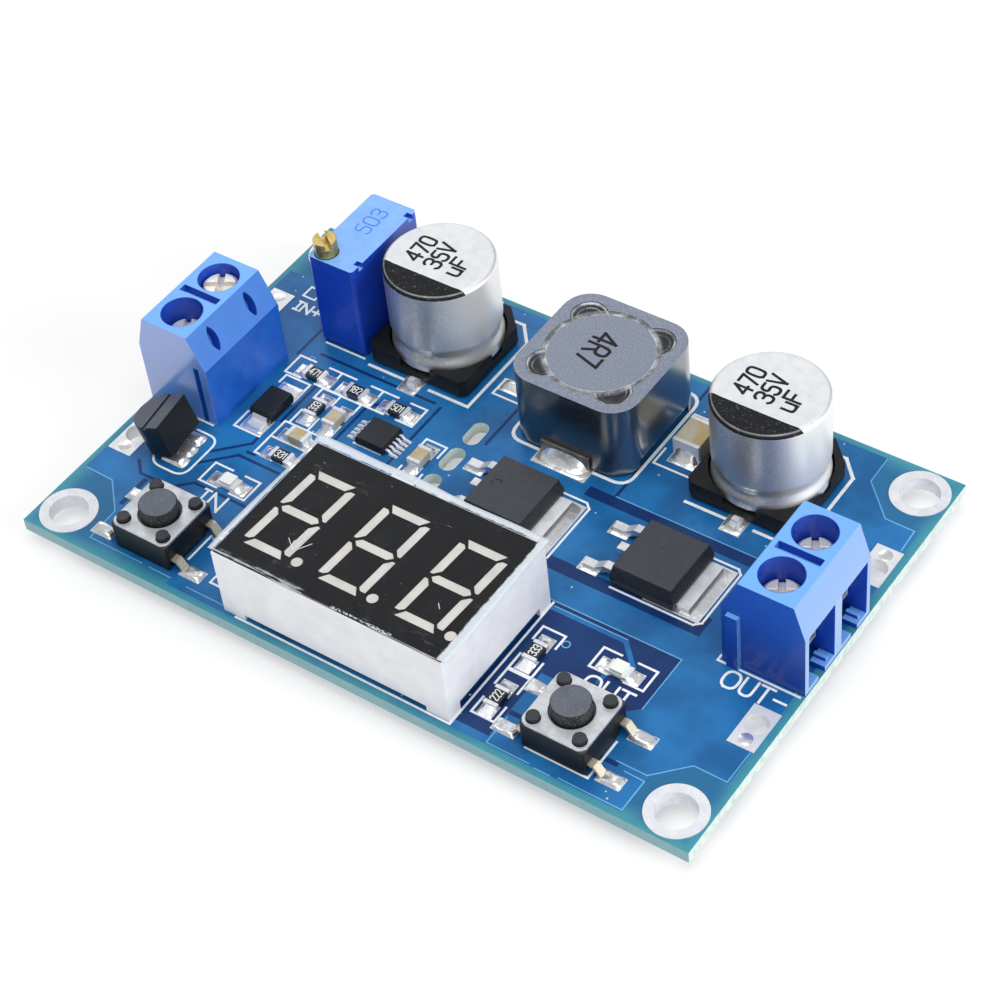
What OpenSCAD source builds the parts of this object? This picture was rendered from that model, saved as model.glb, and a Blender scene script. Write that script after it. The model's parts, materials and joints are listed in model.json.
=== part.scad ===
// Step-up power module: a circuit board with screw terminals, power parts,
// a three-digit voltmeter and two push switches. Millimetres, +Z up.
// The origin is the centre of the mounting holes on the underside of the board,
// +X runs along the board from input to output, +Y towards the capacitors.

/* [Board] */
// Length of the circuit board along X
board_l = 66; // [60:0.5:90]
// Width of the circuit board along Y
board_w = 43; // [40:0.5:60]
// Thickness of the circuit board
board_t = 1.2; // [0.8:0.1:2]
// Distance of a mounting hole from the two edges at its corner
hole_inset = 2.75; // [2.65:0.05:3]
// Diameter of the mounting holes
hole_d = 3.4; // [2.6:0.1:3.8]
// Outer diameter of the plated rings round the mounting holes
ring_d = 5.1; // [4.4:0.1:5.2]
// Thickness of plating and solder lands
land_t = 0.08; // [0.04:0.01:0.12]
// How far the tails of through-hole parts reach below the board
tail_l = 1.4; // [1:0.1:2.5]
// Width of the wire pads along X
wire_pad_w = 2.4; // [2.3:0.1:2.8]
// Length of the wire pads along Y
wire_pad_l = 4.2; // [3.2:0.1:4.5]
// Diameter of the holes in the wire pads
wire_hole_d = 2.0; // [1:0.1:2.1]
// Width of the routed slots
slot_w = 1.6; // [0.8:0.1:1.8]
// Length of the routed slots
slot_l = 2.85; // [2:0.05:3]

/* [Screw terminals] */
// Distance between the two poles
terminal_pitch = 5; // [4.8:0.02:5.4]
// Depth of the housing along the wire
terminal_d = 7.45; // [7.2:0.05:7.8]
// Height of the housing
terminal_h = 9.75; // [9.2:0.05:11]
// Height of the wire face, below its slope
terminal_lip_h = 6.5; // [6.2:0.1:7]
// Height of the rear wall, below its slope
terminal_back_h = 6.5; // [5.5:0.1:7]
// Inside height of the clamp chamber
chamber_h = 6; // [5.7:0.1:6.1]
// Diameter of the screw bores
screw_bore_d = 3.6; // [3.5:0.1:3.8]
// Diameter of the screw heads
screw_head_d = 3.3; // [3:0.1:3.4]
// Diameter of the screw shanks
screw_d = 2.6; // [2:0.1:2.8]
// Depth of a tight screw's head below the top of the housing
screw_sink = 2; // [1.5:0.1:2.2]
// How much higher the loosened input screw stands
screw_raise = 1.3; // [0:0.1:1.4]
// Travel of the rising clamps
clamp_travel = 1.4; // [0.8:0.1:1.5]

/* [Trimmer] */
// Width of the trimmer along X
trimmer_w = 4.8; // [4.4:0.1:5.4]
// Length of the trimmer along Y
trimmer_l = 9.5; // [9:0.1:10.5]
// Height of the trimmer
trimmer_h = 10; // [8:0.1:12]
// Diameter of the adjusting screw
trimmer_screw_d = 2.1; // [1.6:0.1:2.3]
// How far the adjusting screw stands proud
trimmer_screw_h = 1.5; // [1:0.1:2]

/* [Capacitors and inductor] */
// Diameter of the electrolytic cans
can_d = 10; // [8:0.1:10.4]
// Height of the electrolytic capacitors above the board
can_h = 10.2; // [8:0.1:13]
// Height of the base corners
can_base_h = 2; // [1.6:0.1:2.6]
// Width of the inductor's shield
coil_w = 12; // [11:0.1:12.4]
// Height of the inductor
coil_h = 7.6; // [6:0.1:9]
// Diameter of the drum core
core_d = 9.3; // [8:0.1:9.5]
// Diameter of the opening in the shield
shield_bore_d = 10.1; // [9.8:0.1:10.4]

/* [Display] */
// Length of the display along X
display_l = 22.5; // [22.4:0.1:23.6]
// Width of the display along Y
display_w = 14; // [13.4:0.1:15]
// Height of the display
display_h = 7.1; // [6.5:0.1:9]
// Height of the digits
digit_h = 9.3; // [8.4:0.1:9.6]
// Width of the digits
digit_w = 4.6; // [4.2:0.1:4.8]
// Width of the segments
segment_w = 0.78; // [0.6:0.02:0.9]
// Lean of the digits, in degrees
digit_lean = 3; // [0:1:6]

/* [Push switches] */
// Side of the square switch body
switch_w = 6; // [5.8:0.1:6.4]
// Height of the cover's top above the board
switch_h = 2.9; // [2.8:0.1:3.6]
// Diameter of the buttons
button_d = 3.3; // [3:0.1:3.6]
// Height of the button tops above the board
button_h = 4.1; // [3.8:0.1:6]
// Travel of the buttons
button_travel = 0.25; // [0.1:0.05:0.3]

/* [Power packages] */
// Length of the moulded body along its leads
power_l = 6.1; // [5.8:0.1:6.4]
// Width of the moulded body
power_w = 6.4; // [6:0.1:6.8]
// Height of the power packages
power_h = 2.3; // [2:0.1:2.6]
// Distance of each outer lead from the centre line
power_lead_y = 2.28; // [2.1:0.02:2.5]

/* [Small parts] */
// Length of the small chip parts
chip_l = 2; // [1.6:0.1:2.2]
// Width of the small chip parts
chip_w = 1.25; // [1:0.05:1.4]
// Height of the chip resistors
resistor_h = 0.5; // [0.4:0.05:0.8]
// Height of the small chip capacitors
capacitor_h = 0.9; // [0.5:0.05:1.25]
// Length of the large chip capacitor
big_l = 3.2; // [3:0.1:3.6]
// Width of the large chip capacitor
big_w = 2.5; // [2.2:0.1:2.6]
// Height of the large chip capacitor
big_h = 1.8; // [1.2:0.1:2.6]
// Side of the controller chip
controller_w = 3; // [2.8:0.1:3.2]
// Length of the input diode's body
diode_l = 3.3; // [3:0.1:3.8]
// Width of the input diode's body
diode_w = 2.4; // [2:0.1:2.5]
// Height of the input diode
diode_h = 1.15; // [0.9:0.05:1.4]
// Radius of the regulator's round back
regulator_r = 2.3; // [2:0.05:2.4]
// Height of the regulator's body
regulator_h = 3.3; // [3:0.1:4]
// Lean of the regulator, in degrees
regulator_lean = 18; // [10:1:19]

/* [Hidden] */
$fn = 48;
// Clearance between flat faces that only meet, and round pins in holes
touch = 0.02;
pin_slack = 0.05;
// Depth by which cutters pass a face
past = 1;

// Screw terminal, measured from its wire face, its middle and the board
terminal_inset = 0.05;
terminal_w = 2 * terminal_pitch;
terminal_front_slope = 1;
terminal_back_slope = 1.55;
terminal_back_wall = 0.95;
pole_wall = 1.1;
mouth_d = 1.4;
mouth_lip = 0.1;
sill_t = 0.5;
sill_gap = 0.95;
sill_rib_w = 0.4;
sill_rib_h = 0.3;
sill_rib_inset = 0.25;
chamber_w = terminal_pitch - pole_wall;
contact_t = 0.7;
contact_slack = 0.1;
leg_w = 1;
pocket_x = terminal_d - terminal_back_wall - contact_t - 2 * contact_slack;
leg_x = pocket_x + contact_slack + contact_t / 2;
cage_side_slack = 0.2;
cage_end_slack = 0.15;
screw_pass = 0.1;
cage_top_t = 0.8;
cage_bottom_t = 0.5;
cage_x = mouth_d + cage_end_slack;
cage_d = pocket_x - cage_end_slack - cage_x;
cage_w = chamber_w - 2 * cage_side_slack;
cage_window_w = screw_d + 2 * screw_pass;
cage_top_z = chamber_h - pin_slack;
cage_window_top = cage_top_z - cage_top_t;
contact_slack_z = 0.15;
grip_gap = 0.35;
contact_top = cage_window_top - clamp_travel - contact_slack_z;
cage_window_bottom = contact_top - contact_t - grip_gap;
cage_z = cage_window_bottom - cage_bottom_t;
contact_w = cage_window_w - 2 * contact_slack_z;
screw_x = cage_x + cage_d / 2;
screw_head_h = 1.5;
screw_point = 0.3;
screw_slot_w = 0.55;
screw_slot_d = 0.7;
screw_z = contact_top + touch;
screw_l = terminal_h - screw_sink - screw_z;
slit_w = 0.7;
slit_d = 0.8;
slit_edge = 0.45;
slit_l = terminal_d - terminal_front_slope - terminal_back_slope - 2 * slit_edge;
groove_w = 0.55;
groove_d = 0.8;
groove_h = 6.4;
rib_w = 1.1;
rib_t = 0.4;
rib_h = 6;
key_x = terminal_d - 1.15;
lens_l = 2.5;
lens_w = 0.9;
lens_d = 1;

// Places on the board, from its front left corner; share() takes parts of its length and width
terminal_y = share(0, 0.51163)[1];
wire_pad_inset = 1.85;
wire_pad_offset = 9.6;
wire_hole_offset = 9.2;
trimmer_spot = share(0.16894, 0.81744);
back_row_y = share(0, 0.8256)[1];
coil_spot = share(0.5455, 0.8116);
big_spot = share(0.6758, 0.8279);
bare_spot = share(0.4144, 0.8279);
power_switch_spot = share(0.5341, 0.5128);
rectifier_spot = share(0.7538, 0.5151);
controller_spot = share(0.3136, 0.5314);
diode_spot = share(0.1561, 0.493);
regulator_spot = share(0.0917, 0.3116);
regulator_turn = 8;
slot_pitch = 3.5;
slot_spots = [for (i = [-1:1]) share(0.4167, 0.5605) + [0, slot_pitch * i]];
light_spots = [turned(share(0.1939, 0.2814), 0), turned(share(0.7939, 0.2744), 0)];
capacitor_spots = [
    turned(share(0.2447, 0.5233), 90), turned(share(0.2242, 0.4465), 0),
    turned(share(0.3833, 0.5233), 90)
];

// Lands under the chip parts and the push switches
chip_land_l = 1.5;
chip_land_out = 1;
chip_land_lap = 0.15;
chip_row_pitch = 4.52;
switch_land_l = 2.2;
switch_land_w = 1.3;
switch_land_in = 0.4;

// Front row: switch, display, chip column and switch share the spare length between two holes
display_front = 0.9;
switch_lead_reach = 2.2;
corner_reach = hole_inset + ring_d / 2;
switch_reach = switch_w / 2 + switch_lead_reach - switch_land_in + switch_land_l / 2;
side_reach = (chip_w + chip_land_lap) / 2;
row_spare = board_l - display_l - 2 * (corner_reach + 2 * switch_reach + side_reach);
left_switch_spot = [corner_reach + 0.076 * row_spare + switch_reach, share(0, 0.1116)[1]];
display_left = left_switch_spot[0] + switch_reach + 0.456 * row_spare;
display_spot = [display_left + display_l / 2, display_front + display_w / 2];
side_row_x = display_left + display_l + 0.152 * row_spare + side_reach;
right_switch_spot = [side_row_x + side_reach + 0.05 * row_spare + switch_reach, share(0, 0.114)[1]];
chip_row = share(0.1689, 0.6116);
resistor_spots = [
    turned(chip_row, 0), turned(chip_row + [chip_row_pitch, 0], 0),
    turned(chip_row + [2 * chip_row_pitch, 0], 0),
    turned(share(0.2083, 0.5326), 90), turned(share(0.2242, 0.3895), 0),
    [side_row_x, share(0, 0.2302)[1], 90], [side_row_x, share(0, 0.107)[1], 90]
];

// Trimmer
trimmer_r = 0.35;
trimmer_foot = 0.45;
trimmer_foot_w = 1.1;
trimmer_screw_inset = 1.2;
trimmer_screw_depth = 1.6;
trimmer_slot_w = 0.55;
trimmer_slot_d = 0.6;
trimmer_slot_turn = -36;
trimmer_pin_pitch = 2.54;
trimmer_notch = 0.55;
pin_d = 0.5;

// Electrolytic capacitors
can_base_w = can_d + 0.3;
can_base_corner = 2;
can_lead_t = 0.3;
can_lead_w = 0.8;
can_lead_out = 0.9;
can_base_z = land_t + can_lead_t;
can_seat_z = 1;
can_pocket_d = can_d + 0.4;
can_fillet = 0.45;
can_groove_r = 0.9;
can_groove_depth = 0.4;
can_groove_z = can_seat_z + 1.9;
can_notch_w = 3.2;
can_notch_d = 0.6;
can_corner_cut = 0.5;
can_gap = 0.5;
big_gap = 1;
input_can_spot = [trimmer_spot[0] + trimmer_w / 2 + can_gap + can_base_w / 2, back_row_y];
output_can_spot = [big_spot[0] + big_w / 2 + big_gap + can_base_w / 2, back_row_y];

// Inductor
coil_r = 2.6;
coil_foot_t = 0.25;
coil_z = land_t + coil_foot_t;
coil_clip_w = 4.9;
coil_clip_h = 1.5;
coil_clip_out = 0.3;
coil_foot_l = 2.2;
core_flange = 1.5;
core_hub_d = 4.6;
core_drop = 0.08;
winding_slack = 0.1;
pit_d = 3.3;
pit_place = 3.37;
shield_arch_w = 7.6;
shield_arch_h = 0.8;

// Display
display_wall = 0.8;
display_face_t = 0.1;
display_face_rim = 0.12;
display_card_t = 1;
display_card_z = 1.6;
display_card_slack = 0.1;
display_foot_w = 2.2;
display_arch_h = 0.6;
display_side_foot = 1.5;
display_side_arch_h = 0.95;
digit_pitch = display_l / 3 - 0.06;
digit_shift = -0.25;
point_d = 0.96;
point_x = 2.9;
point_y = digit_h / 2 - 0.48;
window_t = 0.6;
window_slack = 0.02;
display_row = 10.16;
display_pin_pitch = 2.54;
segment_gap = 0.3;
film_t = 0.06;
film_side = 0.35;
film_back = 0.8;
film_front = 0.1;
film_tab = 0.85;
film_tab_w = 1.5;

// Push switches
cover_t = 0.25;
cover_r = 0.7;
post_d = 1.1;
post_h = 0.4;
post_place = 2.12;
cover_slack = 0.1;
cover_hole_d = button_d + 0.4;
switch_z = 0.1;
switch_r = 0.35;
well_d = 4.6;
well_z = 0.9;
flange_d = well_d - 0.3;
flange_t = 0.5;
flange_top = switch_h - cover_t - 0.06;
button_nub_d = 1.4;
dome_d = well_d - 0.4;
dome_t = 0.08;
dome_rise = flange_top - flange_t - well_z - dome_t - touch - button_nub_h();
switch_lead_y = 2.25;
switch_lead_w = 0.75;
switch_lead_t = 0.2;
switch_lead_z = 1.1;
switch_lead_foot = 1;

// Power packages
power_part_z = 0.95;
power_draft = 0.3;
power_tab_w = 5.3;
power_tab_t = 0.5;
power_tab_out = 1.1;
power_tab_in = 4.2;
power_lead_w = 0.8;
power_lead_t = 0.5;
power_lead_z = 1.2;
power_lead_reach = 2.9;
power_lead_foot = 1.1;
power_stub = 1;
dimple_d = 0.9;
dimple_t = 0.1;
dimple_x = 0.24 * power_l;

// Chip ends
chip_end = 0.36;
chip_end_lap = 0.03;
light_h = 0.75;

// Other solder lands: how far they pass or miss the metal on them, and their sizes
lead_land_lap = 0.4;
lead_land_side = 0.35;
tab_land_out = 1.1;
tab_land_in = 0.1;
tab_land_edge = 0.1;
can_land_l = 2.8;
can_land_w = 1.9;
can_land_out = 0.4;
coil_land_l = 2.8;
coil_land_out = 0.2;
coil_land_side = 0.25;
diode_land_l = 1.9;
diode_land_in = 0.45;
fine_land_l = 0.9;
fine_land_w = 0.3;
fine_land_in = 0.3;

// Small packages
controller_h = 0.85;
controller_lift = 0.1;
controller_pitch = 0.5;
controller_lead_w = 0.22;
controller_lead_t = 0.13;
controller_lead_reach = 1;
meter_l = 6.5;
meter_w = 4.4;
meter_h = 0.95;
meter_pitch = 0.65;
small_draft = 0.12;
diode_lead_w = 1.5;
diode_lead_t = 0.2;
diode_lead_reach = 1;
regulator_flat = 1.35;
regulator_score_w = 0.3;
regulator_score_d = 0.2;
regulator_score_x = 0.1;
regulator_lift = 0.85;
regulator_pitch = 1.4;
regulator_lead_w = 0.45;
regulator_land_l = 2.5;
regulator_land_w = 1.15;
regulator_land_x = 0.6;

// Holes and solder under the board
tail_slack = 0.25;
joint_flare = 0.4;
joint_h = 0.9;

function button_nub_h() = 0.15;
function share(x, y) = [x * board_l, y * board_w];
function turned(p, a) = [p[0], p[1], a];
function spot(p) = [p[0] - board_l / 2, p[1] - board_w / 2];
function terminal_mid() = spot([0, terminal_y])[1];
function terminal_tail(side, pole) =
    [side * (board_l / 2 - terminal_inset - leg_x), terminal_mid() + pole * terminal_pitch / 2];
function display_pins_at() = concat(
    [for (i = [0:5]) [(i - 2.5) * display_pin_pitch, -display_row / 2]],
    [for (i = [0:4]) [(i - 2) * display_pin_pitch, display_row / 2]]);

// Place children on the top face of the board
module at(p) {
    translate([spot(p)[0], spot(p)[1], board_t]) children();
}

module rounded_square(l, w, r) {
    square([l - 2 * r, w], center = true);
    square([l, w - 2 * r], center = true);
    for (sx = [-1, 1], sy = [-1, 1])
        translate([sx * (l / 2 - r), sy * (w / 2 - r)]) circle(r);
}

module plate(l, w, t) {
    translate([-l / 2, -w / 2, 0]) cube([l, w, t]);
}

module drill(d, depth) {
    translate([0, 0, -past]) cylinder(h = depth + 2 * past, d = d);
}

module each_corner() {
    for (sx = [-1, 1], sy = [-1, 1])
        translate([sx * (board_l / 2 - hole_inset), sy * (board_w / 2 - hole_inset), 0]) children();
}

module each_wire_pad(reach) {
    for (sx = [-1, 1], sy = [-1, 1])
        translate([sx * (board_l / 2 - wire_pad_inset), terminal_mid() + sy * reach, 0]) children();
}

module each_terminal_tail() {
    for (side = [-1, 1], pole = [-1, 1]) translate(terminal_tail(side, pole)) children();
}

module each_trimmer_pin() {
    for (i = [-1:1]) translate(spot(trimmer_spot) + [0, i * trimmer_pin_pitch]) children();
}

module each_regulator_lead() {
    translate(spot(regulator_spot)) rotate(regulator_turn)
        for (i = [-1:1]) translate([0, i * regulator_pitch, 0]) children();
}

module each_display_pin() {
    for (p = display_pins_at()) translate(spot(display_spot) + p) children();
}

// Board and its metal

module circuit_board() {
    color("#2b62a8") difference() {
        plate(board_l, board_w, board_t);
        each_corner() drill(hole_d + 2 * land_t + touch, board_t);
        each_wire_pad(wire_hole_offset) drill(wire_hole_d + 2 * land_t + touch, board_t);
        each_terminal_tail() drill(norm([contact_t, leg_w]) + tail_slack, board_t);
        each_trimmer_pin() drill(pin_d + tail_slack, board_t);
        each_display_pin() drill(pin_d + tail_slack, board_t);
        each_regulator_lead() drill(regulator_lead_w * sqrt(2) + tail_slack, board_t);
        for (p = slot_spots) translate(spot(p)) slot_cut();
    }
}

module slot_cut() {
    translate([0, 0, -past]) linear_extrude(board_t + 2 * past) {
        square([slot_w, slot_l - slot_w], center = true);
        for (s = [-1, 1]) translate([0, s * (slot_l - slot_w) / 2]) circle(d = slot_w);
    }
}

module mounting_hole_rings() {
    color("#d9dadd") each_corner() difference() {
        union() {
            translate([0, 0, -land_t]) cylinder(h = land_t, d = ring_d);
            cylinder(h = board_t, d = hole_d + 2 * land_t);
            translate([0, 0, board_t]) cylinder(h = land_t, d = ring_d);
        }
        drill(hole_d, board_t);
    }
}

module wire_pads() {
    color("#d9dadd") difference() {
        union() {
            each_wire_pad(wire_pad_offset) {
                translate([0, 0, -land_t]) plate(wire_pad_w, wire_pad_l, land_t);
                translate([0, 0, board_t]) plate(wire_pad_w, wire_pad_l, land_t);
            }
            each_wire_pad(wire_hole_offset) cylinder(h = board_t, d = wire_hole_d + 2 * land_t);
        }
        each_wire_pad(wire_hole_offset) drill(wire_hole_d, board_t);
    }
}

module land(x, y, l, w) {
    translate([x, y, 0]) plate(l, w, land_t);
}

module chip_lands(l, w) {
    for (s = [-1, 1])
        land(s * (l / 2 + chip_land_out - chip_land_l / 2), 0, chip_land_l, w + chip_land_lap);
}

module power_lands() {
    lead_land = power_lead_foot + 2 * lead_land_lap;
    tab_land = power_tab_in + tab_land_out - tab_land_in;
    for (s = [-1, 1])
        land(
            -power_l / 2 - power_lead_reach + lead_land / 2 - lead_land_lap, s * power_lead_y,
            lead_land, power_lead_w + 2 * lead_land_side
        );
    land(
        power_l / 2 + power_tab_out + tab_land_out - tab_land / 2, 0,
        tab_land, power_w - 2 * tab_land_edge
    );
}

// Long oval land round a regulator lead
module regulator_land() {
    reach = (regulator_land_l - regulator_land_w) / 2;
    linear_extrude(land_t) difference() {
        translate([regulator_land_x, 0]) {
            square([2 * reach, regulator_land_w], center = true);
            for (s = [-1, 1]) translate([s * reach, 0]) circle(d = regulator_land_w);
        }
        circle(d = regulator_lead_w * sqrt(2) + tail_slack);
    }
}

module solder_pads() {
    color("#cfd1d4") {
        for (p = resistor_spots) at(p) rotate(p[2]) chip_lands(chip_l, chip_w);
        for (p = capacitor_spots) at(p) rotate(p[2]) chip_lands(chip_l, chip_w);
        for (p = light_spots) at(p) rotate(p[2]) chip_lands(chip_l, chip_w);
        for (p = [big_spot, bare_spot]) at(p) rotate(90) chip_lands(big_l, big_w);
        at(power_switch_spot) power_lands();
        at(rectifier_spot) power_lands();
        for (p = [input_can_spot, output_can_spot]) at(p)
            for (s = [-1, 1]) land(0, s * (can_base_w / 2 + can_land_out), can_land_w, can_land_l);
        at(coil_spot)
            for (s = [-1, 1])
                land(0, s * (coil_w / 2 + coil_land_out), coil_clip_w + 2 * coil_land_side, coil_land_l);
        at(diode_spot)
            for (s = [-1, 1])
                land(0, s * (diode_l / 2 + diode_lead_reach - diode_land_in), diode_w, diode_land_l);
        for (p = [left_switch_spot, right_switch_spot]) at(p)
            for (sx = [-1, 1], sy = [-1, 1])
                land(
                    sx * (switch_reach - switch_land_l / 2), sy * switch_lead_y,
                    switch_land_l, switch_land_w
                );
        each_regulator_lead() translate([0, 0, board_t]) regulator_land();
        at(controller_spot)
            for (s = [-1, 1], i = [-2:2])
                land(
                    s * (controller_w / 2 + controller_lead_reach - fine_land_in), i * controller_pitch,
                    fine_land_l, fine_land_w
                );
        at(display_spot)
            for (s = [-1, 1], i = [0:9])
                land(
                    (i - 4.5) * meter_pitch, s * (meter_w / 2 + controller_lead_reach - fine_land_in),
                    fine_land_w, fine_land_l
                );
    }
}

// Cone of solder round a tail, with room for the tail's own shape
module solder_cone(d) {
    translate([0, 0, -joint_h]) difference() {
        cylinder(h = joint_h, r1 = d / 2 + 0.08, r2 = d / 2 + joint_flare);
        children();
    }
}

module round_tail_cut() {
    drill(pin_d + 2 * pin_slack, joint_h);
}

module square_tail_cut(l, w) {
    translate([0, 0, -past]) plate(l + 2 * pin_slack, w + 2 * pin_slack, joint_h + 2 * past);
}

module solder_joints() {
    color("#c9ccd0") {
        each_terminal_tail() solder_cone(norm([contact_t, leg_w]) + tail_slack)
            square_tail_cut(contact_t, leg_w);
        each_trimmer_pin() solder_cone(pin_d + tail_slack) round_tail_cut();
        each_display_pin() solder_cone(pin_d + tail_slack) round_tail_cut();
        each_regulator_lead() solder_cone(regulator_lead_w * sqrt(2) + tail_slack)
            square_tail_cut(regulator_lead_w, regulator_lead_w);
    }
}

// Screw terminals

module at_terminal(side) {
    translate([side * (board_l / 2 - terminal_inset), terminal_mid(), board_t])
        rotate(side < 0 ? 0 : 180) children();
}

module each_pole() {
    for (s = [-1, 1]) translate([0, s * terminal_pitch / 2, 0]) children();
}

module terminal_outline() {
    polygon([
        [0, 0], [0, terminal_lip_h], [terminal_front_slope, terminal_h],
        [terminal_d - terminal_back_slope, terminal_h], [terminal_d, terminal_back_h], [terminal_d, 0]
    ]);
}

// Pointed oval slot in the rear slope
module lens_cut() {
    slope = atan2(terminal_h - terminal_back_h, terminal_back_slope);
    arc_r = (lens_l * lens_l / 4 + lens_w * lens_w / 4) / lens_w;
    translate([terminal_d - terminal_back_slope / 2, 0, (terminal_h + terminal_back_h) / 2])
        rotate([0, slope, 0]) translate([0, 0, -lens_d]) intersection() {
            translate([0, arc_r - lens_w / 2, 0]) cylinder(h = lens_d + past, r = arc_r, $fn = 96);
            translate([0, lens_w / 2 - arc_r, 0]) cylinder(h = lens_d + past, r = arc_r, $fn = 96);
        }
}

module pole_cut() {
    translate([screw_x, 0, chamber_h - past])
        cylinder(h = terminal_h - chamber_h + 2 * past, d = screw_bore_d);
    translate([mouth_d - past, -chamber_w / 2, -past])
        cube([pocket_x - mouth_d + past, chamber_w, chamber_h + past]);
    translate([-past, -chamber_w / 2, -past])
        cube([mouth_d + past, chamber_w, terminal_lip_h - mouth_lip + past]);
    translate([pocket_x - past, -contact_w / 2 - contact_slack, -past])
        cube([
            contact_t + 2 * contact_slack + past, contact_w + 2 * contact_slack,
            contact_top + contact_slack + past
        ]);
    lens_cut();
}

// Floor plates under the wire mouth, with a gap between them and a rib on one
module pole_sill() {
    sill_w = (chamber_w - sill_gap) / 2;
    for (s = [-1, 1]) translate([0, s * (sill_gap + sill_w + touch) / 2 - (sill_w + touch) / 2, 0])
        cube([mouth_d, sill_w + touch, sill_t]);
    translate([sill_rib_inset, -(sill_gap + sill_w) / 2 - sill_rib_w / 2, sill_t - touch])
        cube([mouth_d - sill_rib_inset, sill_rib_w, sill_rib_h + touch]);
}

module terminal_housing() {
    color("#2f6fd0") {
        difference() {
            union() {
                rotate([90, 0, 0]) linear_extrude(terminal_w, center = true) terminal_outline();
                translate([key_x - rib_w / 2, terminal_w / 2 - touch, 0])
                    cube([rib_w, rib_t + touch, rib_h]);
            }
            each_pole() pole_cut();
            translate([terminal_front_slope + slit_edge, -slit_w / 2, terminal_h - slit_d])
                cube([slit_l, slit_w, slit_d + past]);
            translate([key_x - groove_w / 2, -terminal_w / 2 - past, -past])
                cube([groove_w, groove_d + past, groove_h + past]);
        }
        each_pole() pole_sill();
    }
}

module in_terminal_housing() {
    at_terminal(-1) terminal_housing();
}

module out_terminal_housing() {
    at_terminal(1) terminal_housing();
}

// Flat contact under the screw, with a leg that becomes the tail
module contact() {
    translate([cage_x, -contact_w / 2, contact_top - contact_t])
        cube([leg_x + contact_t / 2 - cage_x, contact_w, contact_t]);
    translate([leg_x - contact_t / 2, -leg_w / 2, -board_t - tail_l])
        cube([contact_t, leg_w, board_t + tail_l + contact_top]);
}

module in_terminal_contacts() {
    color("#c8b27a") at_terminal(-1) each_pole() contact();
}

module out_terminal_contacts() {
    color("#c8b27a") at_terminal(1) each_pole() contact();
}

module clamp() {
    color("#b9bcc0") difference() {
        translate([cage_x, -cage_w / 2, cage_z]) cube([cage_d, cage_w, cage_top_z - cage_z]);
        translate([cage_x - past, -cage_window_w / 2, cage_window_bottom])
            cube([cage_d + 2 * past, cage_window_w, cage_window_top - cage_window_bottom]);
        translate([screw_x, 0, cage_window_top - past])
            cylinder(h = cage_top_t + 2 * past, d = screw_d + 2 * pin_slack);
    }
}

module clamp_screw(raise) {
    neck = screw_l - screw_head_h;
    color("#d5d7da") translate([screw_x, 0, screw_z + raise]) difference() {
        rotate_extrude() polygon([
            [0, 0], [screw_d / 2 - screw_point, 0], [screw_d / 2, screw_point], [screw_d / 2, neck],
            [screw_head_d / 2, neck], [screw_head_d / 2, screw_l - screw_point],
            [screw_head_d / 2 - screw_point, screw_l], [0, screw_l]
        ]);
        for (a = [0, 90]) rotate(a + 30) translate([0, 0, screw_l - screw_slot_d])
            plate(screw_head_d + past, screw_slot_w, screw_slot_d + past);
    }
}

module at_pole(side, pole) {
    at_terminal(side) translate([0, pole * terminal_pitch / 2, 0]) children();
}

module in_front_clamp() {
    at_pole(-1, -1) clamp();
}

module in_back_clamp() {
    at_pole(-1, 1) clamp();
}

module out_front_clamp() {
    at_pole(1, 1) clamp();
}

module out_back_clamp() {
    at_pole(1, -1) clamp();
}

module in_front_screw() {
    at_pole(-1, -1) clamp_screw(0);
}

module in_back_screw() {
    at_pole(-1, 1) clamp_screw(screw_raise);
}

module out_front_screw() {
    at_pole(1, 1) clamp_screw(0);
}

module out_back_screw() {
    at_pole(1, -1) clamp_screw(0);
}

// Trimmer

module trimmer_housing() {
    screw_place = [-trimmer_w / 2 + trimmer_screw_inset, -trimmer_l / 2 + trimmer_screw_inset];
    color("#1c3fb0") at(trimmer_spot) difference() {
        union() {
            translate([0, 0, trimmer_foot]) linear_extrude(trimmer_h - trimmer_foot)
                rounded_square(trimmer_w, trimmer_l, trimmer_r);
            for (sx = [-1, 1], sy = [-1, 1])
                translate([
                    sx * (trimmer_w - trimmer_foot_w) / 2,
                    sy * ((trimmer_l - trimmer_foot_w) / 2 - trimmer_r), 0
                ]) plate(trimmer_foot_w, trimmer_foot_w, trimmer_foot + touch);
        }
        translate([screw_place[0], screw_place[1], trimmer_h - trimmer_screw_depth])
            cylinder(h = trimmer_screw_depth + past, d = trimmer_screw_d + 2 * pin_slack);
        translate([trimmer_w / 2 - trimmer_notch, -trimmer_l / 2 + 1, trimmer_h - trimmer_notch])
            cube([trimmer_notch + past, trimmer_notch, trimmer_notch + past]);
        translate([trimmer_w / 2 - trimmer_notch, trimmer_l / 2 - 1.2, trimmer_h - trimmer_notch])
            cube([trimmer_notch + past, trimmer_notch, trimmer_notch + past]);
        for (i = [-1:1]) translate([0, i * trimmer_pin_pitch, -past])
            cylinder(h = trimmer_foot + trimmer_notch + past, d = pin_d + 2 * pin_slack);
    }
}

module trimmer_screw() {
    length = trimmer_screw_depth + trimmer_screw_h;
    color("#c9a54a")
        at(trimmer_spot + [-trimmer_w / 2 + trimmer_screw_inset, -trimmer_l / 2 + trimmer_screw_inset])
            translate([0, 0, trimmer_h - trimmer_screw_depth + touch]) difference() {
                cylinder(h = length, d = trimmer_screw_d);
                translate([0, 0, length - trimmer_slot_d]) rotate(trimmer_slot_turn)
                    plate(trimmer_screw_d + past, trimmer_slot_w, trimmer_slot_d + past);
            }
}

module trimmer_pins() {
    color("#cfd1d4") each_trimmer_pin() translate([0, 0, -tail_l])
        cylinder(h = tail_l + board_t + trimmer_foot + trimmer_notch - touch, d = pin_d);
}

// Electrolytic capacitors

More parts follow.
